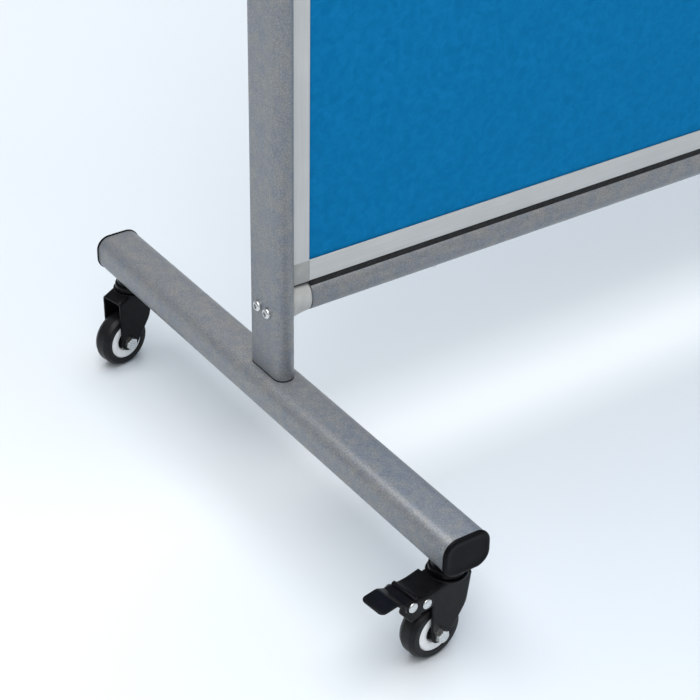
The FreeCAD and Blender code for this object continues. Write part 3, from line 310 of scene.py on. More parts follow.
# %% Grids to meshes
def add_shell(target, grid):
    """Adds one closed shell to a bmesh. The grid has the shape (rows, columns, 3), in millimetres, and
    a face joins the points [i, j], [i, j + 1], [i + 1, j + 1] and [i + 1, j]."""
    rows, columns = grid.shape[:2]
    index = np.arange(rows * columns).reshape(rows, columns)
    quads = np.stack([index[:-1, :-1], index[:-1, 1:], index[1:, 1:], index[1:, :-1]], axis=-1)
    mesh = bpy.data.meshes.new("shell")
    mesh.from_pydata((grid.reshape(-1, 3) * MM).tolist(), [], quads.reshape(-1, 4).tolist())
    shell = bmesh.new()
    shell.from_mesh(mesh)
    bmesh.ops.remove_doubles(shell, verts=shell.verts[:], dist=0.002 * MM)
    rims = [edge for edge in shell.edges if edge.is_boundary]
    bmesh.ops.holes_fill(shell, edges=rims, sides=0)
    bmesh.ops.recalc_face_normals(shell, faces=shell.faces[:])
    shell.to_mesh(mesh)
    shell.free()
    target.from_mesh(mesh)
    bpy.data.meshes.remove(mesh)


def piece(name, node, *grids, finish=None, slot=None, crease=35):
    """A piece of one or more shells that stands for a CAD node, or lies on it if it has a slot."""
    whole = bmesh.new()
    for grid in grids:
        add_shell(whole, grid)
    mesh = bpy.data.meshes.new(name)
    whole.to_mesh(mesh)
    whole.free()
    mesh.polygons.foreach_set("use_smooth", np.ones(len(mesh.polygons), bool))
    mesh.set_sharp_from_angle(angle=math.radians(crease))
    thing = bpy.data.objects.new(name, mesh)
    scene.collection.objects.link(thing)
    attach(thing, BODY_OF[node])
    if slot is None:
        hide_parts(node)
    slot = slot or SLOT_OF[node]
    mesh.materials.append(FINISH[finish or slot])
    print(name, len(mesh.polygons), "faces")
    return thing


def extent(node):
    """The lowest and highest corner of a CAD node, in millimetres."""
    low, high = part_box(node)
    return np.array(low) / MM, np.array(high) / MM


def outermost(node, inward, axis):
    """Where a node ends away from the object's middle. Inward is 1 if the middle lies on the axis's
    positive side of the node, and -1 if it lies on the negative side."""
    return extent(node)[(1 - inward) // 2][axis]


# The two ends and two levels of the object, with the direction from each to the middle.
SIDES = {"left": 1, "right": -1}
LEVELS = {"lower": 1, "upper": -1}


# %% [markdown]
# Four shapes return again and again: an outline with rounded corners, outlines stacked into a tube or
# a plate, and a profile turned on a lathe. They are functions of whole arrays, so one call works out
# every point.


# %% Outlines, stacks and turned profiles
def rounded(corners, radii, steps=6):
    """A closed outline with its corners rounded. Corners have the shape (..., n, 2).

    An arc is the curve (a u^2 + 2 w c t u + b t^2) / (u^2 + 2 w t u + t^2) with u = 1 - t, where c is
    the corner, a and b are where the arc leaves the sides, and w is the sine of half the corner's
    angle. That curve is exactly a part of a circle.
    """
    corners = np.asarray(corners, float)
    radii = np.broadcast_to(radii, corners.shape[:-1])[..., None]
    back = np.roll(corners, 1, axis=-2) - corners
    ahead = np.roll(corners, -1, axis=-2) - corners
    back /= np.linalg.norm(back, axis=-1, keepdims=True)
    ahead /= np.linalg.norm(ahead, axis=-1, keepdims=True)
    half = np.arccos(np.clip((back * ahead).sum(-1, keepdims=True), -1, 1)) / 2
    reach = radii / np.tan(half).clip(1e-6)
    a = (corners + back * reach)[..., None, :]
    b = (corners + ahead * reach)[..., None, :]
    c = corners[..., None, :]
    w = np.sin(half)[..., None]
    t = np.linspace(0, 1, steps + 1)[:, None]
    u = 1 - t
    points = (a * u**2 + 2 * w * c * t * u + b * t**2) / (u**2 + 2 * w * t * u + t**2)
    points = points.reshape(*corners.shape[:-2], -1, 2)
    return np.concatenate([points, points[..., :1, :]], axis=-2)


def bent(points, radii, steps=6):
    """An open line with rounded bends. Its first and last radius are 0."""
    return rounded(points, radii, steps)[steps:-(steps + 1)]


def inside(corners, inset):
    """An outline's corners moved inwards: by inset times the sum of the two sides' inward normals over
    one plus their product. Corners run anticlockwise."""
    corners = np.asarray(corners, float)
    ahead = np.roll(corners, -1, axis=-2) - corners
    ahead /= np.linalg.norm(ahead, axis=-1, keepdims=True)
    normal = np.stack([-ahead[..., 1], ahead[..., 0]], axis=-1)
    before = np.roll(normal, 1, axis=-2)
    return corners + inset * (normal + before) / (1 + (normal * before).sum(-1, keepdims=True))


def stacked(outlines, heights):
    """Outlines (x, y), one row for each, at the heights z."""
    heights = np.broadcast_to(np.asarray(heights, float)[:, None, None], outlines.shape[:-1] + (1,))
    return np.concatenate([outlines, heights], axis=-1)


def turned(profile, count=64):
    """A profile (radius, height) turned about Z: x = r cos a, y = r sin a, z = h."""
    radius, height = np.asarray(profile, float).T[..., None]
    angle = np.linspace(0, 2 * np.pi, count + 1)
    return np.stack([radius * np.cos(angle), radius * np.sin(angle), height + 0 * angle], axis=-1)


def along_x(grid):
    """Lays what stands along Z along X: (x, y, z) becomes (z, x, y)."""
    return np.roll(grid, 1, axis=-1)


def along_y(grid):
    """Lays what stands along Z along Y: (x, y, z) becomes (y, z, x)."""
    return np.roll(grid, -1, axis=-1)


def rounded_box(width, height, radius, inset, steps=8):
    """A rounded rectangle round the origin, for one inset or a column of insets."""
    inset = np.asarray(inset, float)[..., None]
    signs = np.array([(1, 1), (-1, 1), (-1, -1), (1, -1)])
    corners = signs * (np.stack([width / 2 - inset, height / 2 - inset], axis=-1))
    return rounded(corners, np.maximum(radius - inset, 0.2), steps)


def obround(depth, thickness, inset, steps=24):
    """A flat oval, longest along y: half circles x = r cos a, y = reach + r sin a at both ends."""
    radius = thickness / 2 - np.asarray(inset, float)[..., None]
    angle = np.linspace(0, np.pi, steps + 1)
    reach = (depth - thickness) / 2
    top = np.stack([radius * np.cos(angle), reach + radius * np.sin(angle)], axis=-1)
    return np.concatenate([top, -top, top[..., :1, :]], axis=-2)


def tube_path(wall, low, high, edge=0.5):
    """(inset, height) up the outside of a tube and down its inside, with rounded rims."""
    ease = edge * (1 - math.sqrt(0.5))
    return np.array([(wall, low), (edge, low), (ease, low + ease), (0, low + edge), (0, high - edge),
                     (ease, high - ease), (edge, high), (wall, high), (wall, low)])


def plate(corners, radii, low, high, edge=0.4, steps=6):
    """A flat plate between two heights, with a quarter round of the given radius on all its edges."""
    angle = np.linspace(0, np.pi / 2, 4)
    inset = edge * (1 - np.sin(angle))
    height = edge * (1 - np.cos(angle))
    insets = np.concatenate([inset, inset[::-1]])
    heights = np.concatenate([low + height, high - height[::-1]])
    radii = np.asarray(radii, float) - insets[:, None]
    return stacked(rounded(inside(corners, insets[:, None, None]), np.maximum(radii, 0), steps), heights)


# %% [markdown]
# ## Uprights
#
# An upright is a flat-oval tube, rolled from sheet and coated. Its outline is two half circles with
# straight flats between them. Stacked up the outside and down the inside it becomes a tube with a wall
# and rounded rims. A plastic cap closes its top. Its path of points (inset, height) runs up the plug in
# the tube, out to the tube's outline and over a low crown.

# %% Uprights and their caps
TUBE_WALL, TUBE_RIM, PLUG_INSET = 1.5, 0.7, 1.65
for side in SIDES:
    low, high = extent("upright_" + side)
    seat = high[2]
    centre = np.array([(low[0] + high[0]) / 2, 0, 0])
    depth, thickness = high[1] - low[1], high[0] - low[0]
    path = tube_path(TUBE_WALL, low[2], seat, TUBE_RIM)
    piece("tube_upright_" + side, "upright_" + side,
          stacked(obround(depth, thickness, path[:, 0]), path[:, 1]) + centre)
    low, high = extent("upright_cap_" + side)
    path = np.array([(PLUG_INSET, low[2]), (PLUG_INSET, seat), (0, seat), (0, seat + 1.6),
                     (0.22, seat + 2.5), (0.85, seat + 3.25), (1.8, seat + 3.7), (3.4, seat + 3.93),
                     (6, high[2])])
    piece("end_cap_upright_" + side, "upright_cap_" + side,
          stacked(obround(depth, thickness, path[:, 0]), path[:, 1]) + centre)

# %% [markdown]
# A thin rubber seal lies between each upright and its foot. It has the upright's outline, and its edge
# bulges a little.

# %% Seals under the uprights
low, high = extent("upright_base_seals")
path = np.array([(1.6, low[2]), (0.15, low[2]), (0, low[2] + 0.3),
                 (0, high[2] - 0.3), (0.15, high[2]), (1.6, high[2])])
seal = stacked(obround(depth, thickness, path[:, 0]), path[:, 1])
reach = (high[0] - low[0] - thickness) / 2
piece("base_seals", "upright_base_seals", seal - [reach, 0, 0], seal + [reach, 0, 0])

# %% [markdown]
# ## Feet
#
# A foot is a tube with rounded corners, 41 mm wide and 32 mm high, in the same coat. Its end caps are
# moulded: a plug inside the tube, and outside it a flange that stands a hair proud, with a rounded
# edge and a shallow dish in its face.

# %% Feet and their end caps
FOOT_WIDTH, FOOT_HEIGHT, FOOT_CORNER, FOOT_WALL, FOOT_RIM = 41, 32, 12, 2.0, 0.4


def foot_section(inset):
    """The outline of a foot, for a column of insets."""
    return rounded_box(FOOT_WIDTH, FOOT_HEIGHT, FOOT_CORNER, inset, 12)


def foot_end(start, out):
    """A cap on the end of a foot. Its path of points (inset, distance out) runs along the plug, round
    the flange's rim and over the dished face to its middle."""
    turn = np.linspace(0, np.pi / 2, 9)
    rim = np.stack([1.9 - 2.6 * np.cos(turn), 0.9 + 2.1 * np.sin(turn)], axis=-1)
    path = np.vstack([[(3.2, -7), (2.2, -7), (2.2, 0), (-0.5, 0), (-0.65, 0.1), (-0.7, 0.4)], rim,
                      [(2.6, 2.96), (3.6, 2.8), (4.8, 2.62), (6.0, 2.55), (9.0, 2.55)]])
    return stacked(foot_section(path[:, 0]), path[:, 1] * out + start)[..., [0, 2, 1]]


for side in SIDES:
    low, high = extent("foot_tube_" + side)
    centre = np.array([(low[0] + high[0]) / 2, 0, (low[2] + high[2]) / 2])
    path = tube_path(FOOT_WALL, low[1], high[1], FOOT_RIM)
    tube = stacked(foot_section(path[:, 0]), path[:, 1])[..., [0, 2, 1]]
    piece("tube_foot_" + side, "foot_tube_" + side, tube + centre)
    piece("end_cap_front_" + side, "foot_cap_front_" + side, foot_end(low[1], -1) + centre)
    piece("end_cap_rear_" + side, "foot_cap_rear_" + side, foot_end(high[1], 1) + centre)

# %% [markdown]
# ## Cross bars and their sockets
#
# Two round tubes carry the panel. Each end plugs on a moulded socket that flares towards its upright,
# and whose side towards the panel is flat. The socket is a turned profile, with every point above the
# flat side brought down to it.


# %% Cross bars and sockets
BAR_RADIUS = 15.0


def socket(length=20.0, flare=2.4, plug=34.0):
    """A socket along X. Its radius is r + flare (1 - s) ^ 1.7 round a bar of radius r, where s runs from
    0 at the upright to 1 at the bar. A groove and the plug in the bar follow."""
    s = np.linspace(0, 1, 14)
    skirt = np.stack([BAR_RADIUS + flare * (1 - s) ** 1.7, 1.0 + s * (length - 2.2)], axis=-1)
    start = [(0, 0), (BAR_RADIUS + flare - 0.9, 0), (BAR_RADIUS + flare - 0.27, 0.27)]
    end = np.array([(-0.3, -0.9), (-1.2, -0.7), (-1.65, -0.5), (-1.65, plug), (-BAR_RADIUS, plug)])
    grid = along_x(turned(np.vstack([start, skirt, end + [BAR_RADIUS, length]]), 72))
    grid[..., 2] = np.minimum(grid[..., 2], BAR_RADIUS)
    return grid


for level, up in LEVELS.items():
    low, high = extent(level + "_cross_bar")
    height = (low[2] + high[2]) / 2
    path = tube_path(TUBE_WALL, low[0], high[0], TUBE_RIM)
    bar = along_x(turned(np.stack([BAR_RADIUS - path[:, 0], path[:, 1]], axis=-1), 72))
    piece("tube_bar_" + level, level + "_cross_bar", bar + [0, 0, height])
    for side, inward in SIDES.items():
        node = "bar_socket_%s_%s" % (level, side)
        piece("flared_socket_%s_%s" % (level, side), node,
              socket() * [inward, 1, up] + [outermost(node, inward, 0), 0, height], finish="socket_grey")

# %% [markdown]
# ## Screws and nuts
#
# A hexagon's radius in a direction is half its width over the cosine of the angle to the nearest flat.
# A nut is turned with that radius, or with a cone's where the cone is smaller, which cuts the corners
# as the chamfer of a real nut does. A button head is turned round, and only its recess is hexagonal.


# %% Hexagons, heads and nuts
ANGLE = np.linspace(0, 2 * np.pi, 97)


def hexagon(width, angle=ANGLE):
    """The radius of a hexagon across its flats, with a corner at angle 0."""
    return width / 2 / np.cos(angle % (np.pi / 3) - np.pi / 6)


def from_radii(radii, heights):
    """Rows of radii, one for each angle of the circle, at their heights."""
    heights = np.broadcast_to(np.asarray(heights, float)[:, None], radii.shape)
    return np.stack([radii * np.cos(ANGLE), radii * np.sin(ANGLE), heights], axis=-1)


def hex_head(width, height):
    """A nut or bolt head on z = 0, whose corners a cone cuts off at the top."""
    z = np.concatenate([[0], np.linspace(height * 0.55, height, 9)])
    face = width / 2 * 0.96
    cone = face + (height - z) * 1.6
    sides = np.minimum(hexagon(width), cone[:, None])
    middle = np.array([[0.7], [0.4], [0.0]]) * face + 0 * ANGLE
    return from_radii(np.vstack([sides, middle]), np.concatenate([z, np.full(3, height)]))


def button_head(diameter, height, edge, key, depth):
    """A button head on z = 0, with a round of radius edge and a hexagonal recess, key wide."""
    turn = np.linspace(0, np.pi / 2, 8)
    dome = np.stack([diameter / 2 - edge + edge * np.cos(turn), height - edge + edge * np.sin(turn)], axis=-1)
    profile = np.vstack([[(0, 0), (diameter / 2, 0)], dome])
    recess = hexagon(key) * np.array([[1.0], [0.97], [0.0]])
    heights = np.concatenate([profile[:, 1], [height - 0.12, height - depth, height - depth]])
    return from_radii(np.vstack([profile[:, :1] + 0 * ANGLE, recess]), heights)


def shank(radius, start, end, chamfer=0.6):
    """A plain round shank with a chamfer at its end."""
    line = [(0, start), (radius, start), (radius, end - chamfer), (radius - chamfer, end), (0, end)]
    return turned(line, 32)


# %% [markdown]
# Two button screws go through each upright into each socket. They lie a little further from the panel
# than the bar's middle.

# %% Socket screws
SCREW_OFFSET, SCREW_REACH = 4, 7
face = outermost("upright_right", SIDES["right"], 0)
head = along_x(button_head(diameter=9.5, height=3.2, edge=2.4, key=4, depth=2))
stem = along_x(shank(3, 0.1, 48)) * [-1, 1, 1]
screws = []
for level, up in LEVELS.items():
    height = sum(extent(level + "_cross_bar"))[2] / 2 - up * SCREW_OFFSET
    for y in (-SCREW_REACH, SCREW_REACH):
        for out in (-1, 1):
            screws += [grid * [out, 1, 1] + [out * face, y, height] for grid in (head, stem)]
piece("button_screws", "socket_screws", *screws)

# %% [markdown]
# Two hexagon bolts come up through each foot into the block in the upright's lower end.

# %% Foot bolts
BOLT_REACH = 13
low, high = extent("foot_bolts")
middle = (low[0] + high[0]) / 2
foot_reach = sum(extent("foot_tube_right"))[0] / 2
under = outermost("foot_tube_left", LEVELS["lower"], 2)
head, stem = hex_head(width=13, height=4.5) * [1, 1, -1], shank(4, 0, high[2] - under)
bolts = []
for x in (middle - foot_reach, middle + foot_reach):
    for y in (-BOLT_REACH, BOLT_REACH):
        bolts += [head + [x, y, under], stem + [x, y, under]]
piece("hexagon_bolts", "foot_bolts", *bolts)

# %% [markdown]
# Three pan head screws go through each cross bar into the panel's frame, one in the middle and one near
# each end.

# %% Panel screws
SCREW_FROM_END = 130
bar_end = outermost("lower_cross_bar", SIDES["right"], 0)
turn = np.linspace(0, np.pi / 2, 7)
dome = np.stack([2.1 + 2.4 * np.cos(turn), 0.6 + 2.4 * np.sin(turn)], axis=-1)
pan_head = turned(np.vstack([[(0, 0), (4.5, 0)], dome, [(0, 3.0)]]), 40) * [1, 1, -1]
screws = []
for x in (SCREW_FROM_END - bar_end, 0, bar_end - SCREW_FROM_END):
    for level, up in LEVELS.items():
        start = outermost(level + "_cross_bar", up, 2)
        screws += [grid * [1, 1, up] + [x, 0, start] for grid in (pan_head, shank(2.5, 0, 40))]
piece("pan_screws", "panel_screws", *screws)

# %% [markdown]
# ## The panel's frame
#
# The frame is cut from one aluminium profile: a closed chamber on the outside, and two lips on the
# inside that hold the panel's edge. The profile is an outline, so a rail is that outline at both its
# ends. A narrow bevel on the cut ends leaves a fine line against the corner pieces, as on a real frame.

# %% Rails and stiles
FACE, HALF, LIP, FLOOR_OF_SLOT, CUT_BEVEL = 19.0, 11.0, 1.5, 8.0, 0.2
PROFILE = [(-HALF, 0), (HALF, 0), (HALF, FACE), (HALF - LIP, FACE), (HALF - LIP, FLOOR_OF_SLOT),
           (LIP - HALF, FLOOR_OF_SLOT), (LIP - HALF, FACE), (-HALF, FACE)]
PROFILE_RADII = [0.9, 0.9, 0.95, 0.5, 0.2, 0.2, 0.5, 0.95]
outline = rounded(PROFILE, PROFILE_RADII, 5)


def bevel(thing, width, angle=60):
    """Rounds the edges of a piece that are sharper than an angle."""
    modifier = thing.modifiers.new("bevel", "BEVEL")
    modifier.width, modifier.segments = width * MM, 2
    modifier.limit_method, modifier.angle_limit = "ANGLE", math.radians(angle)


for level, up in LEVELS.items():
    node = "frame_rail_" + level
    low, high = extent(node)
    grid = stacked(np.stack([outline, outline]), [low[0], high[0]])[..., [2, 0, 1]]
    grid = grid * [1, 1, up] + [0, 0, outermost(node, up, 2)]
    bevel(piece("rail_" + level, node, grid, finish="frame_aluminium_along"), CUT_BEVEL)
for side, inward in SIDES.items():
    node = "frame_stile_" + side
    low, high = extent(node)
    grid = stacked(np.stack([outline, outline]), [low[2], high[2]])[..., [1, 0, 2]]
    grid = grid * [inward, 1, 1] + [outermost(node, inward, 0), 0, 0]
    bevel(piece("stile_" + side, node, grid, finish="frame_aluminium_up"), CUT_BEVEL)

# %% [markdown]
# The corner pieces are moulded. Each has a square cover in front and behind, a web between them, and
# two legs that stick in the chambers of a rail and a stile. All are flat plates, drawn in the plane of
# the panel with the frame's outer corner at 0, 0.

# %% Corner pieces
COVER_GAP, WEB_GAP = 0.05, 0.4
LEG_START, LEG_END, LEG_LOW, LEG_HIGH, LEG_HALF = FACE - 1, 46, 1.7, 6.3, 9.3
cover = [(COVER_GAP, COVER_GAP), (FACE, COVER_GAP), (FACE, FACE), (COVER_GAP, FACE)]
web = [(WEB_GAP, WEB_GAP), (FACE, WEB_GAP), (FACE, FLOOR_OF_SLOT), (FLOOR_OF_SLOT, FLOOR_OF_SLOT),
       (FLOOR_OF_SLOT, FACE), (WEB_GAP, FACE)]
leg = [(LEG_START, LEG_LOW), (LEG_END, LEG_LOW), (LEG_END, LEG_HIGH), (LEG_START, LEG_HIGH)]
shapes = [plate(cover, [1.5, 0.3, 0.5, 0.3], -HALF, LIP - HALF, 0.3),
          plate(cover, [1.5, 0.3, 0.5, 0.3], HALF - LIP, HALF, 0.3),
          plate(web, 0.2, LIP - HALF, HALF - LIP, 0.05),
          plate(leg, 0.3, -LEG_HALF, LEG_HALF, 0.2)]
shapes.append(shapes[-1][..., [1, 0, 2]])
low, high = extent("frame_corners")
corner_grids = []
for across, x in ((1, low[0]), (-1, high[0])):
    for up, z in ((1, low[2]), (-1, high[2])):
        corner_grids += [shape[..., [0, 2, 1]] * [across, 1, up] + [x, 0, z] for shape in shapes]
piece("corner_pieces", "frame_corners", *corner_grids)

# %% [markdown]
# A rubber gasket lies between each cross bar and the frame. Along the bar its underside is a saddle,
# z = sqrt((r + c)^2 - y^2) - r, a clearance c above the bar's radius r, and its edges hang down round the
# bar. Those black hanging edges also stand for the shade in the narrow wedge between the rail and the
# round bar, so they are partly painted shade. Over the sockets it is a flat strip.

# %% Gaskets
low, high = extent("panel_gasket_lower")
half, thick, skirt, clearance = high[1], 1.0, 4.2, 0.15
y = np.linspace(half, -half, 25)
# painted shade in part: the black skirt hangs down where the wedge under the rail lies in shade
saddle = np.maximum(np.sqrt((BAR_RADIUS + clearance) ** 2 - y**2) - BAR_RADIUS, -skirt)
crest = np.array([(-half, thick - 0.4), (0.4 - half, thick), (half - 0.4, thick), (half, thick - 0.4)])
flat, hung = [np.vstack([crest, [(half, -edge)], np.stack([y, under], axis=-1), [(-half, -edge)], crest[:1]])
              for edge, under in ((0, 0 * y), (skirt, saddle))]
strip = stacked(np.stack([flat, flat, hung, hung, flat, flat]),
                [low[0], -bar_end, -bar_end, bar_end, bar_end, high[0]])[..., [2, 0, 1]]
for level, up in LEVELS.items():
    towards_panel = outermost(level + "_cross_bar", -up, 2)
    piece("gasket_" + level, "panel_gasket_" + level, strip * [1, 1, up] + [0, 0, towards_panel])

# %% [markdown]
# ## Felt
#
# Each side of the panel is a sheet of felt on a board. It is flat, but not dead flat: it rises where the
# frame's lips stop pinching it, and its thickness wanders by a tenth of a millimetre. The surface is a
# height over a grid, the sum of a soft step at the border and a few crossed waves.


# %% Felt covers
PINCHED, STEP_WIDTH = 11, 1.8
THICKNESS, STEP_RISE, WAVE_RISE = 0.9, 0.22, 0.045


def lines(low, high, count):
    """Grid lines from low to high. They are close together near both ends, where the felt rises."""
    near = np.array([0, 5, 10, 10.9, 11.1, 11.4, 11.8, 12.2, 12.6, 13, 15])
    return np.concatenate([low + near, np.linspace(low + 20, high - 20, count), high - near[::-1]])


def felt(node, out):
    """A felt sheet, whose height is thickness + step (rise + waves), towards its outer side, and 0 at
    its border. The step is t^2 (3 - 2 t), with t the distance past the lips over the step's width."""
    low, high = extent(node)
    x, z = np.meshgrid(lines(low[0], high[0], 200), lines(low[2], high[2], 260))
    edge = np.minimum(np.minimum(x - low[0], high[0] - x), np.minimum(z - low[2], high[2] - z))
    t = np.clip((edge - PINCHED) / STEP_WIDTH, 0, 1)
    step = t * t * (3 - 2 * t)
    waves = 0.4 * np.sin(x / 31 + 1.3 * np.sin(z / 57)) + 0.35 * np.sin(z / 23 + 1.1 * np.sin(x / 41))
    waves = waves + 0.25 * np.sin((x + z) / 17) * np.sin((x - z) / 29)
    height = np.where(edge < 1e-6, 0, THICKNESS + STEP_RISE * step + WAVE_RISE * step * waves)
    seat = high[1] if out < 0 else low[1]
    return np.stack([x, seat + out * height, z], axis=-1)


piece("felt_front", "fabric_front", felt("fabric_front", -1))
piece("felt_rear", "fabric_rear", felt("fabric_rear", 1))

# %% [markdown]
# ## Casters
#
# The four casters are alike and only stand at different places and angles. Their pieces are drawn once,
# over the floor with the swivel axis at x = 0 and the wheel trailing towards -x. The joints of the
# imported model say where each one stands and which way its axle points.


# %% Places of the casters
CASTERS = ["caster_%s_%s" % (end, side) for end in ("front", "rear") for side in ("left", "right")]
TRAIL, WHEEL_RADIUS, CROWN_TOP, PIVOT = 15.5, 25.0, 73.0, np.array([-32.0, 0, 64.5])


def on_caster(grid, name):
    """Moves a grid to its caster: x along the direction of travel, y along the axle, z up."""
    swivel = np.array(JOINTS[name + "_swivel_turn"]["pos_m"]) / MM
    axle = np.array(JOINTS[name + "_wheel_roll"]["axis"], float)
    travel = np.array([axle[1], -axle[0], 0])
    return grid[..., :1] * travel + grid[..., 1:2] * axle + grid[..., 2:] * [0, 0, 1] + swivel * [1, 1, 0]


def caster_piece(label, node_end, *grids, casters=CASTERS, **options):
    """The same piece on several casters."""
    for name in casters:
        piece(name + "_" + label, "%s_%s" % (name, node_end), *[on_caster(g, name) for g in grids], **options)


print(len(CASTERS), "casters")

# %% [markdown]
# A caster's mount is turned: a threaded stem in the foot, a neck, and the upper race that covers the
# balls. Under it the fork's crown turns on a riveted kingpin.

# %% Mounts
mount = rounded([(0, 68.2), (6.5, 68.2), (6.5, 70.7), (4, 70.7), (4, 75.7), (13.1, 75.7), (13.1, 73.3),
                 (14.5, 73.3), (14.5, 79), (12.5, 79), (12.5, 86), (5, 86), (5, 99), (0, 99)],
                [0, 1.2, 0.3, 0.2, 0.4, 0.6, 0.3, 0.4, 1.5, 0.5, 0.4, 0.2, 0.8, 0], 5)[:-1]
caster_piece("race_and_stem", "mount", turned(mount, 72))

# %% [markdown]
# The fork is one folded plate. Its surface is a loop round the plate's own cross-section, carried up
# one leg, round the bend, over the crown and down the other leg. At each height the leg's front and
# rear edges say how wide the loop is, so the legs taper to round tips. Behind the swivel the crown
# slopes down. A round crown plate lies on top, and the front casters' legs have ears for the pedal.

# %% Forks
INSIDE, OUTSIDE, BEND, PLATE_EDGE = 10.0, 12.0, 3.5, 0.5
TIP, TIP_ROUND = 8.0, 7.5
TIP_LOW = WHEEL_RADIUS - TIP
FORK_FRONT, FORK_REAR, SLOPE_START = 14.5, -24.0, -12.0
SLOPE_LOW, SLOPE_FADE = 58, 11
FRONT_EDGE = bent([(-TRAIL, TIP_LOW), (TIP - TRAIL, TIP_LOW), (26 - TRAIL, 43), (FORK_FRONT, 69),
                   (FORK_FRONT, 76)], [0, TIP_ROUND, 20, 5, 0], 10)
REAR_EDGE = bent([(-TRAIL, TIP_LOW), (-TRAIL - TIP, TIP_LOW), (FORK_REAR, 76)], [0, TIP_ROUND, 0], 10)


def fork_section():
    """Stations along the folded plate: outer point (y, z), inner point (y, z), rear and front edge."""
    tip = TIP_LOW + TIP_ROUND * (1 - np.cos(np.linspace(0.12, np.pi / 2, 10)))
    straight = np.linspace(TIP_LOW + TIP_ROUND + 1, CROWN_TOP - BEND, 16)
    height = np.concatenate([tip, straight])
    up = np.stack([np.full_like(height, -OUTSIDE), height], axis=-1)
    turn = np.linspace(0, np.pi / 2, 8)[1:]
    arc = np.stack([-OUTSIDE + BEND * (1 - np.cos(turn)), CROWN_TOP - BEND + BEND * np.sin(turn)], axis=-1)
    outer = np.vstack([up, arc])
    normal = np.vstack([np.tile([-1.0, 0.0], (len(up), 1)), np.stack([-np.cos(turn), np.sin(turn)], axis=-1)])
    inner = outer - (OUTSIDE - INSIDE) * normal
    outer = np.vstack([outer, outer[::-1] * [-1, 1]])
    inner = np.vstack([inner, inner[::-1] * [-1, 1]])
    ahead = np.interp(outer[:, 1], FRONT_EDGE[:, 1], FRONT_EDGE[:, 0])
    behind = np.interp(outer[:, 1], REAR_EDGE[:, 1], REAR_EDGE[:, 0])
    return outer, inner, behind[:, None], ahead[:, None]


def folded_fork(drop):
    """The plate. Behind the slope's start its crown sinks evenly, by the drop at its rear edge, and the
    legs follow less and less on the way down to where the slope fades out."""
    outer, inner, behind, ahead = fork_section()
    inset = PLATE_EDGE * np.array([1.0, 0.3, 0.0, 0.0, 0.3, 1.0])
    through = np.array([1.0, 0.93, 0.75, 0.25, 0.07, 0.0])
    middle = np.linspace(0, 1, 18)[1:-1]
    face = behind + PLATE_EDGE + (ahead - behind - 2 * PLATE_EDGE).clip(0.2) * middle
    x = np.concatenate([face, ahead - inset, face[:, ::-1], behind + inset, face[:, :1]], axis=1)
    blend = np.concatenate([np.ones(16), through, np.zeros(16), through[::-1], [1]])[:, None]
    y, z = np.moveaxis(inner[:, None] + (outer - inner)[:, None] * blend, -1, 0)
    slope = drop * ((SLOPE_START - x) / (SLOPE_START - FORK_REAR)).clip(0, 1)
    return np.stack([x, y, z - slope * ((z - SLOPE_LOW) / SLOPE_FADE).clip(0, 1)], axis=-1)


crown = turned(rounded([(4.1, 71), (16.5, 71), (16.5, 73), (4.1, 73)], [0.2, 0.9, 0.9, 0.2], 5), 72)
ear = [(-36.6, 59.9), (-22, 56.5), (-22, 69.8), (-36.6, 69.1)]
ears = [plate(ear, [4.4, 0, 0, 4.4], INSIDE + 0.05, OUTSIDE - 0.05, 0.4)[..., [0, 2, 1]]]
ears.append(ears[0] * [1, -1, 1])
BRAKED, PLAIN = CASTERS[:2], CASTERS[2:]
caster_piece("folded_fork", "fork", folded_fork(drop=2.3), crown, *ears, casters=BRAKED)
caster_piece("folded_fork", "fork", folded_fork(drop=4.3), crown, casters=PLAIN)

# %% [markdown]
# The wheel is turned too. Its tyre has a flat tread that rounds over into the sides. The hub's ring is
# pale and crowned, and stands out round a deeper web with a boss on the axle. The web is painted black
# as painted shade, for the shadow that the fork leg casts into its recess. A bolt goes through it all,
# with its head on one side and a nut on the other.


# %% Wheels and axles
def on_axle(grid):
    """Puts what is turned about Z round the axle."""
    return along_y(grid) + [-TRAIL, 0, WHEEL_RADIUS]


tyre = rounded([(17.5, -8.5), (22.8, -8.5), (25, -4.5), (25, 4.5), (22.8, 8.5), (17.5, 8.5)],
               [0.3, 1.6, 4.0, 4.0, 1.6, 0.3], 7)
caster_piece("tyre", "tyre", on_axle(turned(tyre, 96)))

turn = np.linspace(0, np.pi, 13)
crown_line = np.stack([13.4 + 4.05 * np.cos(turn), 7.1 + 1.4 * np.sin(turn) ** 0.8], axis=-1)
ring = np.vstack([crown_line, crown_line[::-1] * [1, -1], crown_line[:1]])
caster_piece("hub_ring", "hub", on_axle(turned(ring, 96)))

web = rounded([(3.1, -9.7), (6.5, -9.7), (6.5, -4), (9.6, -4), (9.6, 4), (6.5, 4), (6.5, 9.7), (3.1, 9.7)],
              [0.2, 0.8, 1.5, 0.1, 0.1, 1.5, 0.8, 0.2], 4)
# painted shade: the web takes the tyre's black to stand for the fork leg's shadow in its recess
caster_piece("hub_web", "hub", on_axle(turned(web, 64)), slot="tyre_black")

nut = hex_head(width=10, height=5)
bolt = turned([(0, 0), (3, 0), (3, 30), (2.4, 30.5), (0, 30.5)], 32)
at_leg = np.array([0, 0, OUTSIDE])
caster_piece("axle_bolt", "axle", on_axle(nut * [1, 1, -1] - at_leg), on_axle(bolt - at_leg),
             on_axle(nut + at_leg))

# %% [markdown]
# ## Brake pedals
#
# The pedal is pressed from sheet. Its hood over the fork has an upside-down U for a cross-section,
# whose legs are as long as the flange at each place. Two lines seen from the side say where the
# underside and the flange's lower edge run, measured from the pivot.


# %% Pedal hood
def corner_rows(*corners):
    """Corners (across, up) that differ from row to row, in the shape (rows, corners, 2)."""
    return np.stack([np.stack(np.broadcast_arrays(across, up), axis=-1) for across, up in corners], axis=1)


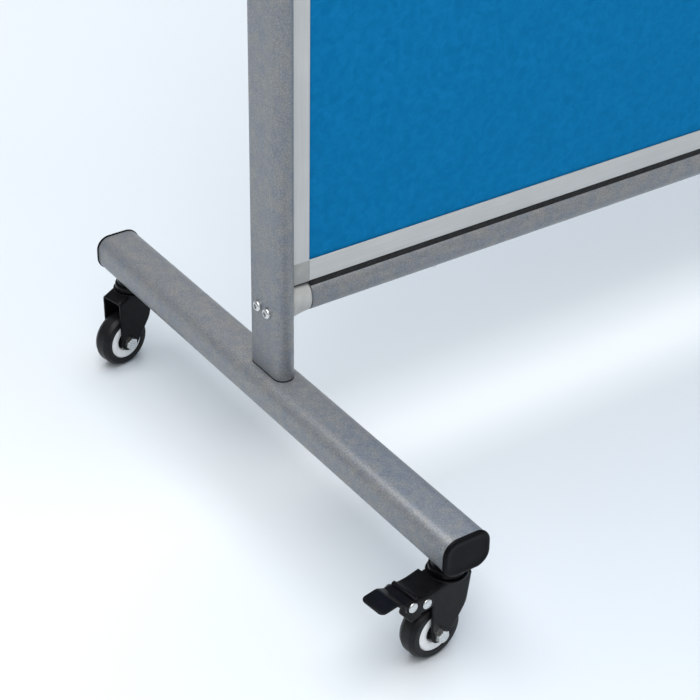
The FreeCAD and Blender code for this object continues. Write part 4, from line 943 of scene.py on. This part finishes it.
SHEET, HOOD_HALF, FLANGE_START, SHORTEST_LEG, TIP_REACH = 1.5, 13.8, 7.0, 2.6, 42.6
under = bent([(14.5, 7.9), (-2.5, 5.4), (-8, 7.2), (-20, 7.2), (-27.5, 10.9), (-TIP_REACH, 9.5)],
             [0, 3, 3, 3, 6, 0], 8)
flange = bent([(FLANGE_START, 6.5), (FLANGE_START, -6), (-6, -6), (-20, 1), (-20.4, 8)], [0, 4, 4, 4, 0], 8)
stations = np.concatenate([[14.5, 13.9, 12, 9.5, 7.4], np.minimum(flange[:, 0], FLANGE_START + 0.02)])
stations = stations[np.concatenate([[True], np.diff(stations) < -0.01])]
top = np.interp(-stations, -under[:, 0], under[:, 1]) + SHEET
shortest = top - SHORTEST_LEG
low_edge = np.minimum(np.interp(-stations, -flange[:, 0], flange[:, 1]), shortest)
low_edge = np.where(stations > FLANGE_START + 0.01, shortest, low_edge)
inner_half, ceiling = HOOD_HALF - SHEET, top - SHEET
outside_u = rounded(corner_rows((HOOD_HALF, low_edge), (HOOD_HALF, top), (-HOOD_HALF, top),
                                (-HOOD_HALF, low_edge)), [0.01, 2.4, 2.4, 0.01], 6)[:, :-1]
inside_u = rounded(corner_rows((-inner_half, low_edge), (-inner_half, ceiling), (inner_half, ceiling),
                               (inner_half, low_edge)), [0.01, 0.7, 0.7, 0.01], 6)[:, :-1]
loop = np.concatenate([outside_u, inside_u, outside_u[:, :1]], axis=1)
hood = np.concatenate([np.broadcast_to(stations[:, None, None], loop.shape[:-1] + (1,)), loop], axis=-1)
print("hood of", len(stations), "sections")

# %% [markdown]
# The plate behind the hood rises to a crest and dips to its tip. It is a rounded strip carried along the
# underside's line. Near the tip it narrows by c - sqrt(c^2 - (c - d)^2), at a distance d from the tip, which
# rounds its corners with the radius c. A ridge across the pedal stops a foot from sliding off.

# %% Pedal plate and ridge
TIP_CORNER, TONGUE = 4.5, 12.5
x = np.union1d(under[under[:, 0] <= -18, 0], np.array([4.5, 3.4, 2.4, 1.6, 0.9, 0.4, 0.1]) - TIP_REACH)[::-1]
line = np.stack([x, np.interp(-x, -under[:, 0], under[:, 1])], axis=-1)
slope = np.gradient(line, axis=0)
slope /= np.linalg.norm(slope, axis=-1, keepdims=True)
upward = np.stack([slope[:, 1], -slope[:, 0]], axis=-1)
upward *= np.sign(upward[:, 1:])
from_tip = np.clip(line[:, 0] + TIP_REACH, 0, TIP_CORNER)
half = TONGUE - TIP_CORNER + np.sqrt(np.maximum(TIP_CORNER**2 - (TIP_CORNER - from_tip) ** 2, 0.2))
strip = rounded(corner_rows((half, 0), (half, SHEET), (-half, SHEET), (-half, 0)), 0.6, 4)
tongue = np.stack([line[:, None, 0] + upward[:, None, 0] * strip[..., 1], strip[..., 0],
                   line[:, None, 1] + upward[:, None, 1] * strip[..., 1]], axis=-1)
ridge = plate([(-12.5, 7.9), (-8.5, 7.9), (-8.5, 10.7), (-12.5, 10.7)], [0, 0, 1.7, 1.7],
              -TONGUE, TONGUE, 0.6)[..., [0, 2, 1]]
caster_piece("pedal", "brake_pedal", hood + PIVOT, tongue + PIVOT, ridge + PIVOT, casters=BRAKED)

# %% [markdown]
# Two rivets hold the pedal and its shoe: one is the pivot in the fork's ears, the other joins pedal and
# shoe. Their heads are low domes.

# %% Rivets
SEAT, HEAD_RADIUS = 13.8, 4.25
turn = np.linspace(0, np.pi / 2, 8)
head_line = np.stack([HEAD_RADIUS * np.cos(turn) ** 0.8, 0.35 + 1.45 * np.sin(turn) + SEAT], axis=-1)
head_line[-1, 0] = 0
rivet_line = np.vstack([[(2.0, 0), (2.0, SEAT), (HEAD_RADIUS, SEAT)], head_line])
rivet_line = np.vstack([(rivet_line * [1, -1])[::-1], rivet_line])
rivet = along_y(turned(rivet_line, 40))
caster_piece("rivets", "brake_rivets", rivet + PIVOT, rivet + PIVOT + [-14, 0, 3.8], casters=BRAKED)

# %% [markdown]
# ## What stays as it is
#
# Parts that hardly show keep their CAD mesh: the board in the panel, the blocks in the uprights, the
# balls and nuts of the casters, and the brake shoes. They only need a finish of their own.

# %% Finishes for the remaining nodes
kept = [node for node in frame["nodes"].values() if not node.hide_render]
for node in kept:
    node.data.materials.clear()
    node.data.materials.append(FINISH[SLOT_OF[node.name]])
print("kept as CAD:", sorted(node.name for node in kept))

# %% Update the view layer
bpy.context.view_layer.update()
